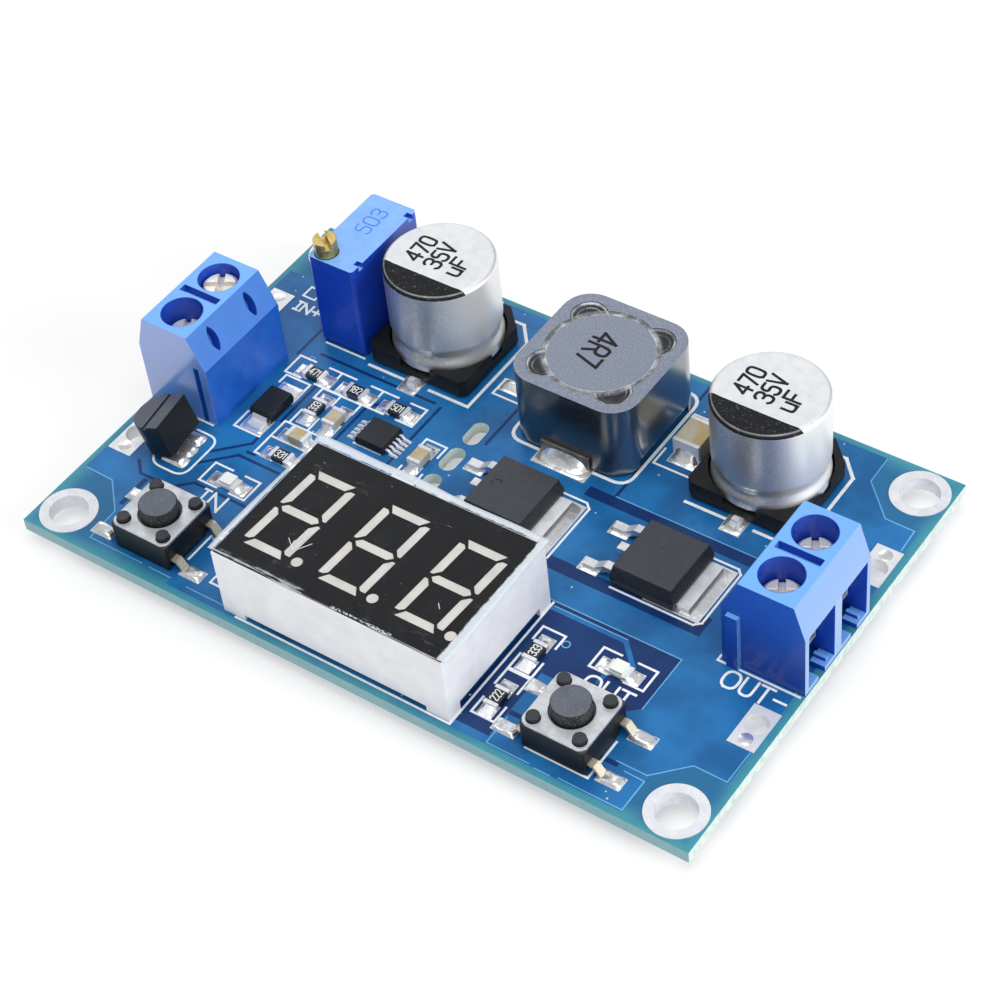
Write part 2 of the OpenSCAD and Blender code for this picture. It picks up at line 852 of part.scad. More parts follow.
// Half section of a can: rounded rims and a rolled groove above the foot
module can_section() {
    r = can_d / 2;
    difference() {
        union() {
            translate([0, can_seat_z]) square([r - can_fillet, can_h - can_seat_z]);
            translate([0, can_seat_z + can_fillet]) square([r, can_h - can_seat_z - 2 * can_fillet]);
            for (z = [can_seat_z + can_fillet, can_h - can_fillet])
                translate([r - can_fillet, z]) circle(can_fillet);
        }
        translate([r + can_groove_r - can_groove_depth, can_groove_z]) circle(can_groove_r);
    }
}

module can() {
    color("#c9cbcf") rotate_extrude($fn = 96) can_section();
}

module can_base() {
    half = can_base_w / 2;
    cut = half - can_base_corner;
    blunt = can_corner_cut - half;
    color("#1b1c20") difference() {
        translate([0, 0, can_base_z]) linear_extrude(can_base_h - can_base_z)
            polygon([
                [-half, blunt], [blunt, -half], [-blunt, -half], [half, blunt],
                [half, cut], [cut, half], [-cut, half], [-half, cut]
            ]);
        translate([0, 0, can_seat_z]) cylinder(h = can_base_h, d = can_pocket_d);
        for (s = [-1, 1]) translate([0, s * half, can_seat_z])
            plate(can_notch_w, 2 * can_notch_d, can_base_h);
    }
}

module input_capacitor_can() {
    at(input_can_spot) can();
}

module input_capacitor_base() {
    at(input_can_spot) can_base();
}

module output_capacitor_can() {
    at(output_can_spot) can();
}

module output_capacitor_base() {
    at(output_can_spot) can_base();
}

module capacitor_leads() {
    inner = can_base_w / 2 - 3;
    color("#d5d6d8") for (p = [input_can_spot, output_can_spot]) at(p)
        for (s = [-1, 1]) translate([0, s * (inner + can_base_w / 2 + can_lead_out) / 2, land_t])
            plate(can_lead_w, can_base_w / 2 + can_lead_out - inner, can_lead_t);
}

// Inductor

module inductor_shield() {
    color("#55575c") at(coil_spot) translate([0, 0, coil_z]) difference() {
        linear_extrude(coil_h - coil_z) difference() {
            rounded_square(coil_w, coil_w, coil_r);
            circle(d = shield_bore_d, $fn = 96);
            for (sx = [-1, 1], sy = [-1, 1]) translate([sx * pit_place, sy * pit_place]) circle(d = pit_d);
        }
        translate([0, 0, -past]) plate(coil_w + past, shield_arch_w, shield_arch_h + past);
    }
}

module inductor_core() {
    height = coil_h - coil_z - core_drop;
    color("#6a6c72") at(coil_spot) translate([0, 0, coil_z]) rotate_extrude($fn = 96) polygon([
        [0, 0], [core_d / 2, 0], [core_d / 2, core_flange], [core_hub_d / 2, core_flange],
        [core_hub_d / 2, height - core_flange], [core_d / 2, height - core_flange],
        [core_d / 2, height], [0, height]
    ]);
}

module inductor_winding() {
    height = coil_h - coil_z - core_drop - 2 * core_flange;
    color("#a8622f") at(coil_spot) translate([0, 0, coil_z + core_flange]) difference() {
        cylinder(h = height, d = core_d - 2 * winding_slack, $fn = 96);
        drill(core_hub_d + touch, height);
    }
}

// Bent clips at the front and back, each a foot and an upstand
module inductor_terminals() {
    color("#b9b2a4") at(coil_spot) for (s = [-1, 1]) scale_y(s) {
        translate([0, coil_w / 2 - coil_foot_l / 2 + coil_clip_out / 2, land_t])
            plate(coil_clip_w, coil_foot_l + coil_clip_out, coil_foot_t);
        translate([0, coil_w / 2 + coil_clip_out / 2, land_t])
            plate(coil_clip_w, coil_clip_out, coil_clip_h);
    }
}

module scale_y(s) {
    mirror([0, s < 0 ? 1 : 0, 0]) children();
}

// Chip parts

module chip_body(l, w, h) {
    translate([0, 0, land_t + chip_end_lap]) plate(l - 2 * chip_end, w, h - chip_end_lap);
}

module chip_ends(l, w, h) {
    for (s = [-1, 1]) translate([s * (l - chip_end) / 2, 0, land_t])
        plate(chip_end, w + 2 * chip_end_lap, h + chip_end_lap);
}

module chip_capacitors() {
    color("#c9b98a") {
        for (p = capacitor_spots) at(p) rotate(p[2]) chip_body(chip_l, chip_w, capacitor_h);
        at(big_spot) rotate(90) chip_body(big_l, big_w, big_h);
    }
}

module chip_resistors() {
    color("#1d1d20") for (p = resistor_spots) at(p) rotate(p[2]) chip_body(chip_l, chip_w, resistor_h);
}

module status_lights() {
    color("#e8efe6") for (p = light_spots) at(p) rotate(p[2]) {
        chip_body(chip_l, chip_w, light_h / 2);
        translate([0, 0, land_t + light_h / 2 - touch])
            plate(chip_l - 2 * chip_end - 0.1, chip_w - 0.1, light_h / 2 + touch);
    }
}

module chip_end_caps() {
    color("#d8dadc") {
        for (p = resistor_spots) at(p) rotate(p[2]) chip_ends(chip_l, chip_w, resistor_h);
        for (p = capacitor_spots) at(p) rotate(p[2]) chip_ends(chip_l, chip_w, capacitor_h);
        for (p = light_spots) at(p) rotate(p[2]) chip_ends(chip_l, chip_w, light_h / 2);
        at(big_spot) rotate(90) chip_ends(big_l, big_w, big_h);
    }
}

// Moulded packages

module draft_outline(l, h, part_z, draft) {
    polygon([
        [-l / 2 + draft / 2, 0], [-l / 2, part_z], [-l / 2 + draft, h],
        [l / 2 - draft, h], [l / 2, part_z], [l / 2 - draft / 2, 0]
    ]);
}

// Block whose sides slope in above and below its parting line
module moulded_block(l, w, h, part_z, draft) {
    intersection() {
        rotate([90, 0, 0]) linear_extrude(w, center = true) draft_outline(l, h, part_z, draft);
        rotate([90, 0, 90]) linear_extrude(l, center = true) draft_outline(w, h, part_z, draft);
    }
}

// Lead with a flat shoulder, a sloping leg and a flat foot, along +X from a body's face
module gull_lead(reach, foot, z, t, w) {
    shoulder = (reach - foot) * 0.45;
    bend = 0.6 * t;
    rotate([90, 0, 0]) linear_extrude(w, center = true) polygon([
        [0, z], [shoulder, z], [reach - foot, t], [reach, t], [reach, 0],
        [reach - foot - bend, 0], [shoulder - bend, z - t], [0, z - t]
    ]);
}

module power_tab() {
    translate([power_l / 2 + power_tab_out - power_tab_in / 2, 0, land_t])
        plate(power_tab_in, power_tab_w, power_tab_t);
}

module power_body() {
    color("#26272c") difference() {
        translate([0, 0, land_t + touch])
            moulded_block(power_l, power_w, power_h - land_t - touch, power_part_z, power_draft);
        power_tab();
    }
}

// Two formed leads, a cut middle stub and the tab
module power_leads() {
    color("#d3d4d6") {
        for (s = [-1, 1]) translate([-power_l / 2, s * power_lead_y, land_t]) rotate(180)
            gull_lead(power_lead_reach, power_lead_foot, power_lead_z, power_lead_t, power_lead_w);
        translate([-power_l / 2 - power_stub / 2, 0, land_t + power_lead_z - power_lead_t])
            plate(power_stub, power_lead_w, power_lead_t);
        power_tab();
    }
}

// The transistor's body has a moulding mark that the rectifier's lacks
module power_switch_body() {
    color("#26272c") at(power_switch_spot) difference() {
        power_body();
        translate([-dimple_x, 0, power_h - dimple_t]) cylinder(h = dimple_t + past, d = dimple_d);
    }
}

module power_switch_leads() {
    at(power_switch_spot) power_leads();
}

module rectifier_body() {
    at(rectifier_spot) power_body();
}

module rectifier_leads() {
    at(rectifier_spot) power_leads();
}

module lean_regulator() {
    at(regulator_spot) rotate(regulator_turn) rotate([0, -regulator_lean, 0]) children();
}

module regulator_body() {
    color("#2a2a2e") lean_regulator() translate([0, 0, regulator_lift])
        difference() {
            linear_extrude(regulator_h) {
                difference() {
                    circle(regulator_r);
                    translate([0, -regulator_r - past]) square(2 * regulator_r + 2 * past);
                }
                translate([-touch, -regulator_r]) square([regulator_flat + touch, 2 * regulator_r]);
            }
            translate([-regulator_score_x, 0, regulator_h - regulator_score_d])
                plate(regulator_score_w, 2 * regulator_r + past, regulator_score_d + past);
        }
}

module regulator_leads() {
    color("#cfd1d4") {
        each_regulator_lead() translate([0, 0, -tail_l])
            plate(regulator_lead_w, regulator_lead_w, tail_l + board_t + touch);
        lean_regulator() for (i = [-1:1]) translate([0, i * regulator_pitch, -regulator_lead_w / 4])
            plate(regulator_lead_w, regulator_lead_w, regulator_lift + regulator_lead_w / 4);
    }
}

module controller_body() {
    color("#26272b") at(controller_spot) translate([0, 0, controller_lift])
        moulded_block(controller_w, controller_w, controller_h, controller_h / 2, small_draft);
}

module controller_leads() {
    color("#d5d7da") at(controller_spot) for (s = [0, 180]) rotate(s)
        for (i = [-2:2]) translate([controller_w / 2, i * controller_pitch, land_t])
            gull_lead(
                controller_lead_reach, 0.45, controller_h / 2, controller_lead_t, controller_lead_w
            );
}

module meter_chip_body() {
    color("#26272b") at(display_spot) translate([0, 0, controller_lift])
        moulded_block(meter_l, meter_w, meter_h, meter_h / 2, small_draft);
}

module meter_chip_leads() {
    color("#d5d7da") at(display_spot) for (s = [90, 270]) rotate(s)
        for (i = [0:9]) translate([meter_w / 2, (i - 4.5) * meter_pitch, land_t])
            gull_lead(controller_lead_reach, 0.45, meter_h / 2, controller_lead_t, controller_lead_w);
}

module input_diode_body() {
    color("#232326") at(diode_spot) translate([0, 0, land_t + touch])
        moulded_block(diode_w, diode_l, diode_h - land_t - touch, diode_h / 2, small_draft);
}

module input_diode_leads() {
    color("#d0d2d4") at(diode_spot) for (s = [90, 270]) rotate(s) translate([diode_l / 2, 0, land_t])
        gull_lead(diode_lead_reach, 0.7, diode_h / 2, diode_lead_t, diode_lead_w);
}

// Display

// End bar of a digit, mitred at both ends, its outer edge along the digit's top
module end_segment() {
    half = digit_w / 2 - 1.4 * segment_gap;
    polygon([
        [-half, digit_h / 2], [half, digit_h / 2],
        [half - 0.7 * segment_w, digit_h / 2 - segment_w],
        [-half + 0.7 * segment_w, digit_h / 2 - segment_w]
    ]);
}

// Side bar of a digit, upper left, cut back at the middle and at the top
module side_segment() {
    outer = -digit_w / 2;
    inner = outer + segment_w;
    top = digit_h / 2 - 2 * segment_gap;
    polygon([
        [outer, segment_gap], [outer + segment_gap, segment_gap], [inner, segment_gap + 0.7 * segment_w],
        [inner, top - segment_gap], [inner - segment_gap, top], [outer, top]
    ]);
}

module middle_segment() {
    half = digit_w / 2 - 1.4 * segment_gap;
    rise = segment_w / 2;
    polygon([
        [-half, 0], [-half + rise, rise], [half - rise, rise],
        [half, 0], [half - rise, -rise], [-half + rise, -rise]
    ]);
}

// Seven segments that lean with the digit, and an upright point
module digit_outline() {
    multmatrix([[1, tan(digit_lean), 0, 0], [0, 1, 0, 0], [0, 0, 1, 0], [0, 0, 0, 1]]) {
        middle_segment();
        for (my = [0, 1]) mirror([0, my]) {
            end_segment();
            for (mx = [0, 1]) mirror([mx, 0]) side_segment();
        }
    }
    translate([point_x, -point_y]) circle(d = point_d);
}

module digits() {
    for (i = [-1:1]) translate([i * digit_pitch, digit_shift]) digit_outline();
}

module display_housing() {
    top = display_h - display_face_t;
    floor_z = display_card_z + display_card_t;
    color("#e6e6e8") at(display_spot) difference() {
        plate(display_l, display_w, top);
        translate([0, 0, -past])
            plate(display_l - 2 * display_wall, display_w - 2 * display_wall, floor_z + past);
        translate([0, 0, floor_z - past]) linear_extrude(top - floor_z + 2 * past) digits();
        translate([0, 0, -past])
            plate(display_l - 2 * display_foot_w, display_w + past, display_arch_h + past);
        translate([0, 0, -past])
            plate(display_l + past, display_w - 2 * display_side_foot, display_side_arch_h + past);
    }
}

module display_face() {
    color("#26272c") at(display_spot) translate([0, 0, display_h - display_face_t])
        linear_extrude(display_face_t) difference() {
            square([display_l - 2 * display_face_rim, display_w - 2 * display_face_rim], center = true);
            digits();
        }
}

module display_segments() {
    color("#d2d2ce") at(display_spot) translate([0, 0, display_h - window_t])
        linear_extrude(window_t - window_slack) digits();
}

module display_card() {
    color("#d9d5c8") at(display_spot) translate([0, 0, display_card_z]) difference() {
        plate(
            display_l - 2 * display_wall - 2 * display_card_slack,
            display_w - 2 * display_wall - 2 * display_card_slack, display_card_t
        );
        for (p = display_pins_at()) translate(p) drill(pin_d + 2 * pin_slack, display_card_t);
    }
}

module display_pins() {
    color("#cfd1d4") each_display_pin() translate([0, 0, -tail_l])
        cylinder(h = tail_l + board_t + display_card_z + display_card_t - touch, d = pin_d);
}

// Clear protective film, uneven round the face, with a pull tab at one corner
module display_film() {
    half_l = display_l / 2;
    half_w = display_w / 2;
    color("#dfe6ec") at(display_spot) translate([0, 0, display_h]) linear_extrude(film_t) polygon([
        [-half_l - film_side / 3, half_w - film_tab_w - digit_h],
        [-half_l - film_side, film_tab - half_w],
        [-half_l - film_tab / 3, -half_w], [-half_l, -half_w - film_tab],
        [film_tab_w - half_l, -half_w - film_tab],
        [film_tab_w + film_tab / 2 - half_l, film_front - half_w],
        [half_l + film_side / 3, film_front - half_w], [half_l + film_side, half_w + film_back / 2],
        [half_l - film_tab / 2, half_w + film_back], [0, half_w + film_back - film_front],
        [film_tab_w - half_l, half_w + film_back], [-half_l - film_tab / 3, half_w + film_front]
    ]);
}

// Push switches

module switch_base() {
    color("#1d1d20") difference() {
        union() {
            translate([0, 0, switch_z]) linear_extrude(switch_h - cover_t - switch_z)
                rounded_square(switch_w, switch_w, switch_r);
            for (sx = [-1, 1], sy = [-1, 1])
                translate([sx * post_place, sy * post_place, switch_h - cover_t - touch])
                    cylinder(h = cover_t + post_h + touch, d = post_d);
        }
        translate([0, 0, well_z]) cylinder(h = switch_h, d = well_d);
        for (sx = [-1, 1], sy = [-1, 1])
            translate([sx * switch_w / 2, sy * switch_lead_y, switch_z - past])
                plate(0.5, switch_lead_w + 0.3, past + switch_lead_z - switch_z - switch_lead_t);
    }
}

module switch_cover() {
    color("#b4b6ba") translate([0, 0, switch_h - cover_t]) linear_extrude(cover_t) difference() {
        rounded_square(switch_w - 0.1, switch_w - 0.1, cover_r);
        circle(d = cover_hole_d);
        for (sx = [-1, 1], sy = [-1, 1]) translate([sx * post_place, sy * post_place])
            circle(d = post_d + cover_slack);
    }
}

// Button with a hidden flange that stops under the cover and a nub on the dome
module switch_button() {
    bottom = flange_top - flange_t;
    color("#3a3a3e") rotate_extrude() polygon([
        [0, bottom - button_nub_h()], [button_nub_d / 2, bottom - button_nub_h()],
        [button_nub_d / 2, bottom],
        [flange_d / 2, bottom], [flange_d / 2, flange_top], [button_d / 2, flange_top],
        [button_d / 2, button_h - 0.12], [button_d / 2 - 0.12, button_h], [0, button_h]
    ]);
}

// Shallow snap dome, a thin cone with a flat crown
module switch_dome() {
    color("#c4c6c9") translate([0, 0, well_z]) rotate_extrude() polygon([
        [dome_d / 2, 0], [dome_d / 2, dome_t], [button_nub_d / 2, dome_rise + dome_t],
        [0, dome_rise + dome_t], [0, dome_rise], [button_nub_d / 2, dome_rise], [dome_d / 2 - dome_t, 0]
    ]);
}

module left_switch_base() {
    at(left_switch_spot) switch_base();
}

module left_switch_cover() {
    at(left_switch_spot) switch_cover();
}

module left_button() {
    at(left_switch_spot) switch_button();
}

module left_dome() {
    at(left_switch_spot) switch_dome();
}

module right_switch_base() {
    at(right_switch_spot) switch_base();
}

module right_switch_cover() {
    at(right_switch_spot) switch_cover();
}

module right_button() {
    at(right_switch_spot) switch_button();
}

module right_dome() {
    at(right_switch_spot) switch_dome();
}

module switch_leads() {
    color("#d6cfae") for (p = [left_switch_spot, right_switch_spot]) at(p)
        for (turn = [0, 180]) rotate(turn)
            for (s = [-1, 1]) translate([switch_w / 2, s * switch_lead_y, land_t])
                gull_lead(
                    switch_lead_reach, switch_lead_foot, switch_lead_z, switch_lead_t, switch_lead_w
                );
}

circuit_board();
mounting_hole_rings();
wire_pads();
solder_pads();
solder_joints();
in_terminal_housing();
in_terminal_contacts();
in_front_clamp();
in_back_clamp();
in_front_screw();
in_back_screw();
out_terminal_housing();
out_terminal_contacts();
out_front_clamp();
out_back_clamp();
out_front_screw();
out_back_screw();
trimmer_housing();
trimmer_screw();
trimmer_pins();
input_capacitor_can();
input_capacitor_base();
output_capacitor_can();
output_capacitor_base();
capacitor_leads();
inductor_shield();
inductor_core();
inductor_winding();
inductor_terminals();
chip_capacitors();
chip_resistors();
status_lights();
chip_end_caps();
power_switch_body();
power_switch_leads();
rectifier_body();
rectifier_leads();
regulator_body();
regulator_leads();
controller_body();
controller_leads();
input_diode_body();
input_diode_leads();
display_housing();
display_face();
display_segments();
display_card();
display_pins();
display_film();
meter_chip_body();
meter_chip_leads();
left_switch_base();
left_switch_cover();
left_button();
left_dome();
right_switch_base();
right_switch_cover();
right_button();
right_dome();
switch_leads();
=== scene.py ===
import json
import math
import bpy
import bmesh
import numpy as np
import mathutils.geometry
from mathutils import Matrix, Vector


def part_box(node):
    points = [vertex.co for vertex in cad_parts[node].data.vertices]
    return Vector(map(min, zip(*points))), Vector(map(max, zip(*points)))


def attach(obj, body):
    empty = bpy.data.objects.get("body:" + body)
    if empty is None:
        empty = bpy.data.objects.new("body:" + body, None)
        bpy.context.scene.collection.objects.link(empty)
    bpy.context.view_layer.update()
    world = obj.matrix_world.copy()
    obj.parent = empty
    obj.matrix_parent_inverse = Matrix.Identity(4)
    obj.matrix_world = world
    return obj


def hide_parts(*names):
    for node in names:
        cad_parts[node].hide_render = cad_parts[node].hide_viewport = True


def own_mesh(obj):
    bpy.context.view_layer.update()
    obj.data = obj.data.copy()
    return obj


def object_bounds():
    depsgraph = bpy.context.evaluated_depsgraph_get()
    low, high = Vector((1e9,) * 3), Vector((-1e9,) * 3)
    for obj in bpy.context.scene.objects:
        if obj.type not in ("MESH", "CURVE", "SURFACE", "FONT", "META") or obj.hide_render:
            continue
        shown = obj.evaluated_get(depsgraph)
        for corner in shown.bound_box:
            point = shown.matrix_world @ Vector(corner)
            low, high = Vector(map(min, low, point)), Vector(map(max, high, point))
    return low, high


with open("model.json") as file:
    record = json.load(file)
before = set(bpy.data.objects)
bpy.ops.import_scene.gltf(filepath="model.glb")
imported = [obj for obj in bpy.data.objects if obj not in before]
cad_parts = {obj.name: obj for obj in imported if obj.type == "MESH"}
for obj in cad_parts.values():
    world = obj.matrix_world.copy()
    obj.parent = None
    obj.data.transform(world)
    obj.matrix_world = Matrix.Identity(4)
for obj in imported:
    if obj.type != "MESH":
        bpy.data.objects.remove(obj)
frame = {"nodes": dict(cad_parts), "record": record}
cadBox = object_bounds()
record = frame["record"]
bodyOf = {n: b for b, members in record["behaviour"]["bodies"].items() for n in members}
slotOf = {s["node"]: s["material_slot"] for s in record["subparts"]}
print("frame loaded with", len(frame["nodes"]), "nodes")

# board millimetres: x from the input end, y from the display edge, z up from the board's top
boardSize = dict(length=66.0, width=43.0, thick=1.2)
halfLong, halfWide = boardSize["length"] / 2, boardSize["width"] / 2
toBoard = [halfLong, halfWide, -boardSize["thick"]]  # frame mm + toBoard = board mm


def onBoard(points):
    # (x, y, z) board mm -> frame metres: shift the origin to the middle of the underside
    return (np.asarray(points, float) - toBoard) * 1e-3


def middle(node):
    # centre of a node in board mm, with its lowest and highest z
    low, high = (np.array(c) * 1e3 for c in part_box(node))
    x, y = ((low + high) / 2)[:2] + [halfLong, halfWide]
    return x, y, low[2] - boardSize["thick"], high[2] - boardSize["thick"]


def tint(code):
    # hex sRGB -> linear: ((c + 0.055) / 1.055) ^ 2.4 above the toe
    c = np.array([int(code[i:i + 2], 16) for i in (0, 2, 4)]) / 255
    lin = np.where(c <= 0.04045, c / 12.92, ((c + 0.055) / 1.055) ** 2.4)
    return (*lin.tolist(), 1.0)


# shader sockets as values

class Sock:
    def __init__(self, finish, out):
        self.finish, self.out = finish, out

    def op(self, kind, a, b):
        return self.finish.node("ShaderNodeMath", {"operation": kind}, [a, b])

    def __add__(self, o): return self.op("ADD", self, o)
    def __sub__(self, o): return self.op("SUBTRACT", self, o)
    def __rsub__(self, o): return self.op("SUBTRACT", o, self)
    def __mul__(self, o): return self.op("MULTIPLY", self, o)
    def __truediv__(self, o): return self.op("DIVIDE", self, o)
    def __rtruediv__(self, o): return self.op("DIVIDE", o, self)
    def __gt__(self, o): return self.op("GREATER_THAN", self, o)
    def __lt__(self, o): return self.op("LESS_THAN", self, o)
    __radd__ = __add__
    __rmul__ = __mul__

    def atMost(self, o): return self.op("MINIMUM", self, o)
    def atLeast(self, o): return self.op("MAXIMUM", self, o)
    def size(self): return self.op("ABSOLUTE", self, 0.0)

    def rise(self, low, high):
        # 0 below low, 1 above high, smooth between
        return self.finish.node("ShaderNodeMapRange", {"interpolation_type": "SMOOTHSTEP"},
                                {0: self, 1: low, 2: high, 3: 0.0, 4: 1.0})


class Finish:
    def __init__(self, name, **sockets):
        self.mat = bpy.data.materials.new(name)
        self.mat.use_nodes = True
        self.tree = self.mat.node_tree
        self.bsdf = self.tree.nodes["Principled BSDF"]
        for key, value in sockets.items():
            self.bsdf.inputs[key.replace("_", " ")].default_value = value
        self.place = None

    def node(self, kind, settings=None, sockets=None, out=0):
        n = self.tree.nodes.new(kind)
        for key, value in (settings or {}).items():
            setattr(n, key, value)
        pairs = sockets.items() if isinstance(sockets, dict) else enumerate(sockets or [])
        for key, value in pairs:
            if isinstance(value, Sock):
                self.tree.links.new(value.out, n.inputs[key])
            else:
                n.inputs[key].default_value = value
        return Sock(self, n.outputs[out])

    def where(self):
        # object coordinates in millimetres
        if self.place is None:
            spot = self.node("ShaderNodeTexCoord", out=3)
            self.place = self.node("ShaderNodeVectorMath", {"operation": "SCALE"}, {0: spot, 3: 1000.0})
        return self.place

    def xyz(self):
        return [self.node("ShaderNodeSeparateXYZ", None, [self.where()], out=i) for i in range(3)]

    def facing(self):
        n = self.node("ShaderNodeNewGeometry", out=1)
        return [self.node("ShaderNodeSeparateXYZ", None, [n], out=i) for i in range(3)]

    def radius(self, dx, dy):
        # distance from an axis: sqrt(dx^2 + dy^2)
        return self.node("ShaderNodeMath", {"operation": "SQRT"}, [dx * dx + dy * dy])

    def stretch(self, x, y, z):
        return self.node("ShaderNodeMapping", None, {0: self.where(), 3: (x, y, z)})

    def noise(self, scale, detail=3.0, rough=0.55, along=None):
        return self.node("ShaderNodeTexNoise", None,
                         {0: along or self.where(), 2: scale, 3: detail, 4: rough})

    def cells(self, scale):
        return self.node("ShaderNodeTexVoronoi", None, {0: self.where(), 2: scale})

    def mix(self, part, a, b):
        return self.node("ShaderNodeMix", {"data_type": "RGBA"}, {0: part, 6: a, 7: b}, out=2)

    def bump(self, height, strength, depth):
        # depth in metres for a height of one
        return self.node("ShaderNodeBump", None, {"Strength": strength, "Distance": depth, "Height": height})

    def feed(self, **sockets):
        for key, value in sockets.items():
            self.tree.links.new(value.out, self.bsdf.inputs[key.replace("_", " ")])
        return self


def moulded(name, base, shade, rough, grain=3.0, depth=8e-6, specks=None, coat=0.0, top=None, level=0.5,
            sheen_lean=(0.1, 0.95)):
    # moulded plastic: two close tones in soft clouds, fine pitted grain; top is the tone of upward faces, a painted
    # sheen
    f = Finish(name, Coat_Weight=coat, Coat_Roughness=0.14, Coat_IOR=1.5, Specular_IOR_Level=level)
    clouds = f.noise(0.55, 3.0)
    fine = f.noise(grain, 2.0, 0.5)
    colour = f.mix(clouds.rise(0.35, 0.7), tint(base), tint(shade))
    if top:
        # painted sheen: upward faces mixed towards the top tone
        colour = f.mix(f.facing()[2].rise(*sheen_lean) * (0.85 + (clouds - 0.5) * 0.5), colour, tint(top))
    if specks:
        dots = f.noise(9.0, 2.0, 0.5).rise(0.6, 0.68) * 0.35
        colour = f.mix(dots, colour, tint(specks))
    return f.feed(Base_Color=colour, Roughness=rough + (fine - 0.5) * 0.14 + (clouds - 0.5) * 0.12,
                  Normal=f.bump(fine, 0.25, depth)).mat


def plated(name, base, shade, rough, drawn=(1, 1, 1), depth=4e-6, metal=1.0):
    # plated or drawn metal: tone clouds, fine lines stretched along one axis
    f = Finish(name, Metallic=metal)
    clouds = f.noise(0.9, 3.0)
    lines = f.noise(6.0, 4.0, 0.65, f.stretch(*drawn))
    colour = f.mix((clouds * 0.6 + lines * 0.4).rise(0.35, 0.65), tint(base), tint(shade))
    return f.feed(Base_Color=colour, Roughness=rough + (lines - 0.5) * 0.25 + (clouds - 0.5) * 0.15,
                  Normal=f.bump(lines, 0.4, depth)).mat


# meshes

def gridFaces(rows, cols, wrap):
    # quads of a (rows x cols) parameter grid; wrap joins the last column to the first
    r, c = np.meshgrid(np.arange(rows - 1), np.arange(cols if wrap else cols - 1), indexing="ij")
    d = (c + 1) % cols
    return np.stack([r * cols + c, r * cols + d, (r + 1) * cols + d, (r + 1) * cols + c], -1).reshape(-1, 4)


def closeUp(mesh, gap=1e-7):
    # merge doubles at poles and turn the faces outwards
    bm = bmesh.new()
    bm.from_mesh(mesh)
    bmesh.ops.remove_doubles(bm, verts=bm.verts, dist=gap)
    bmesh.ops.recalc_face_normals(bm, faces=bm.faces)
    bm.to_mesh(mesh)
    bm.free()


def addPiece(name, verts, faces, finish, body="module", slot=None, smooth=None, hides=(), close=True):
    # smooth is the angle in degrees past which an edge stays sharp, hides the nodes that the piece stands for
    mesh = bpy.data.meshes.new(name)
    mesh.from_pydata(np.asarray(verts, float).tolist(), [], [list(map(int, f)) for f in faces])
    if close:
        closeUp(mesh)
    if smooth:
        mesh.shade_smooth()
        mesh.set_sharp_from_angle(angle=math.radians(smooth))
    obj = bpy.data.objects.new(name, mesh)
    bpy.context.scene.collection.objects.link(obj)
    mesh.materials.append(finish)
    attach(obj, body)
    if hides:
        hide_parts(*hides)
    return obj


def softened(node, finish, edge, steps=2, limit=20):
    # merged copy of a CAD node with its sharp edges rounded by edge mm
    bm = bmesh.new()
    bm.from_mesh(frame["nodes"][node].data)
    bmesh.ops.remove_doubles(bm, verts=bm.verts, dist=1e-6)
    bmesh.ops.dissolve_limit(bm, angle_limit=math.radians(0.5), verts=bm.verts, edges=bm.edges)
    bm.verts.index_update()
    verts = [v.co[:] for v in bm.verts]
    faces = [[v.index for v in f.verts] for f in bm.faces]
    bm.free()
    obj = addPiece(node + "_soft", verts, faces, finish, bodyOf[node], None, 40, (node,), close=False)
    rounding = obj.modifiers.new("rounding", "BEVEL")
    rounding.width, rounding.segments = edge * 1e-3, steps
    rounding.limit_method, rounding.angle_limit = "ANGLE", math.radians(limit)
    rounding.miter_outer, rounding.harden_normals = "MITER_ARC", True
    return obj


def lathe(profile, centre, turns):
    # profile (r, z) in mm carried round a vertical axis: (cx + r cos a, cy + r sin a, z)
    r, z = np.asarray(profile, float).T
    a = np.linspace(0, 2 * math.pi, turns, endpoint=False)
    x = centre[0] + r[:, None] * np.cos(a)
    y = centre[1] + r[:, None] * np.sin(a)
    verts = np.stack([x, y, np.broadcast_to(z[:, None], x.shape)], -1).reshape(-1, 3)
    return onBoard(verts), gridFaces(len(r), turns, True)


def runs(lines, width):
    # each straight run a -> b becomes a rectangle, pushed out by half its width at both ends
    a = np.concatenate([np.asarray(l, float)[:-1] for l in lines])
    b = np.concatenate([np.asarray(l, float)[1:] for l in lines])
    d = (b - a) / np.linalg.norm(b - a, axis=1)[:, None] * width / 2
    n = np.stack([-d[:, 1], d[:, 0]], -1)
    return list(np.stack([a - d - n, b + d - n, b + d + n, a - d + n], 1))


def within(points, outline):
    # even-odd rule: count the edges crossed by a ray along +x
    p, a = np.asarray(points, float), np.asarray(outline, float)
    b = np.roll(a, -1, 0)
    x, y = p[:, :1], p[:, 1:]
    with np.errstate(divide="ignore", invalid="ignore"):
        cross = a[:, 0] + (y - a[:, 1]) * (b[:, 0] - a[:, 0]) / (b[:, 1] - a[:, 1])
    return (((a[:, 1] > y) != (b[:, 1] > y)) & (x < cross)).sum(1) % 2 == 1


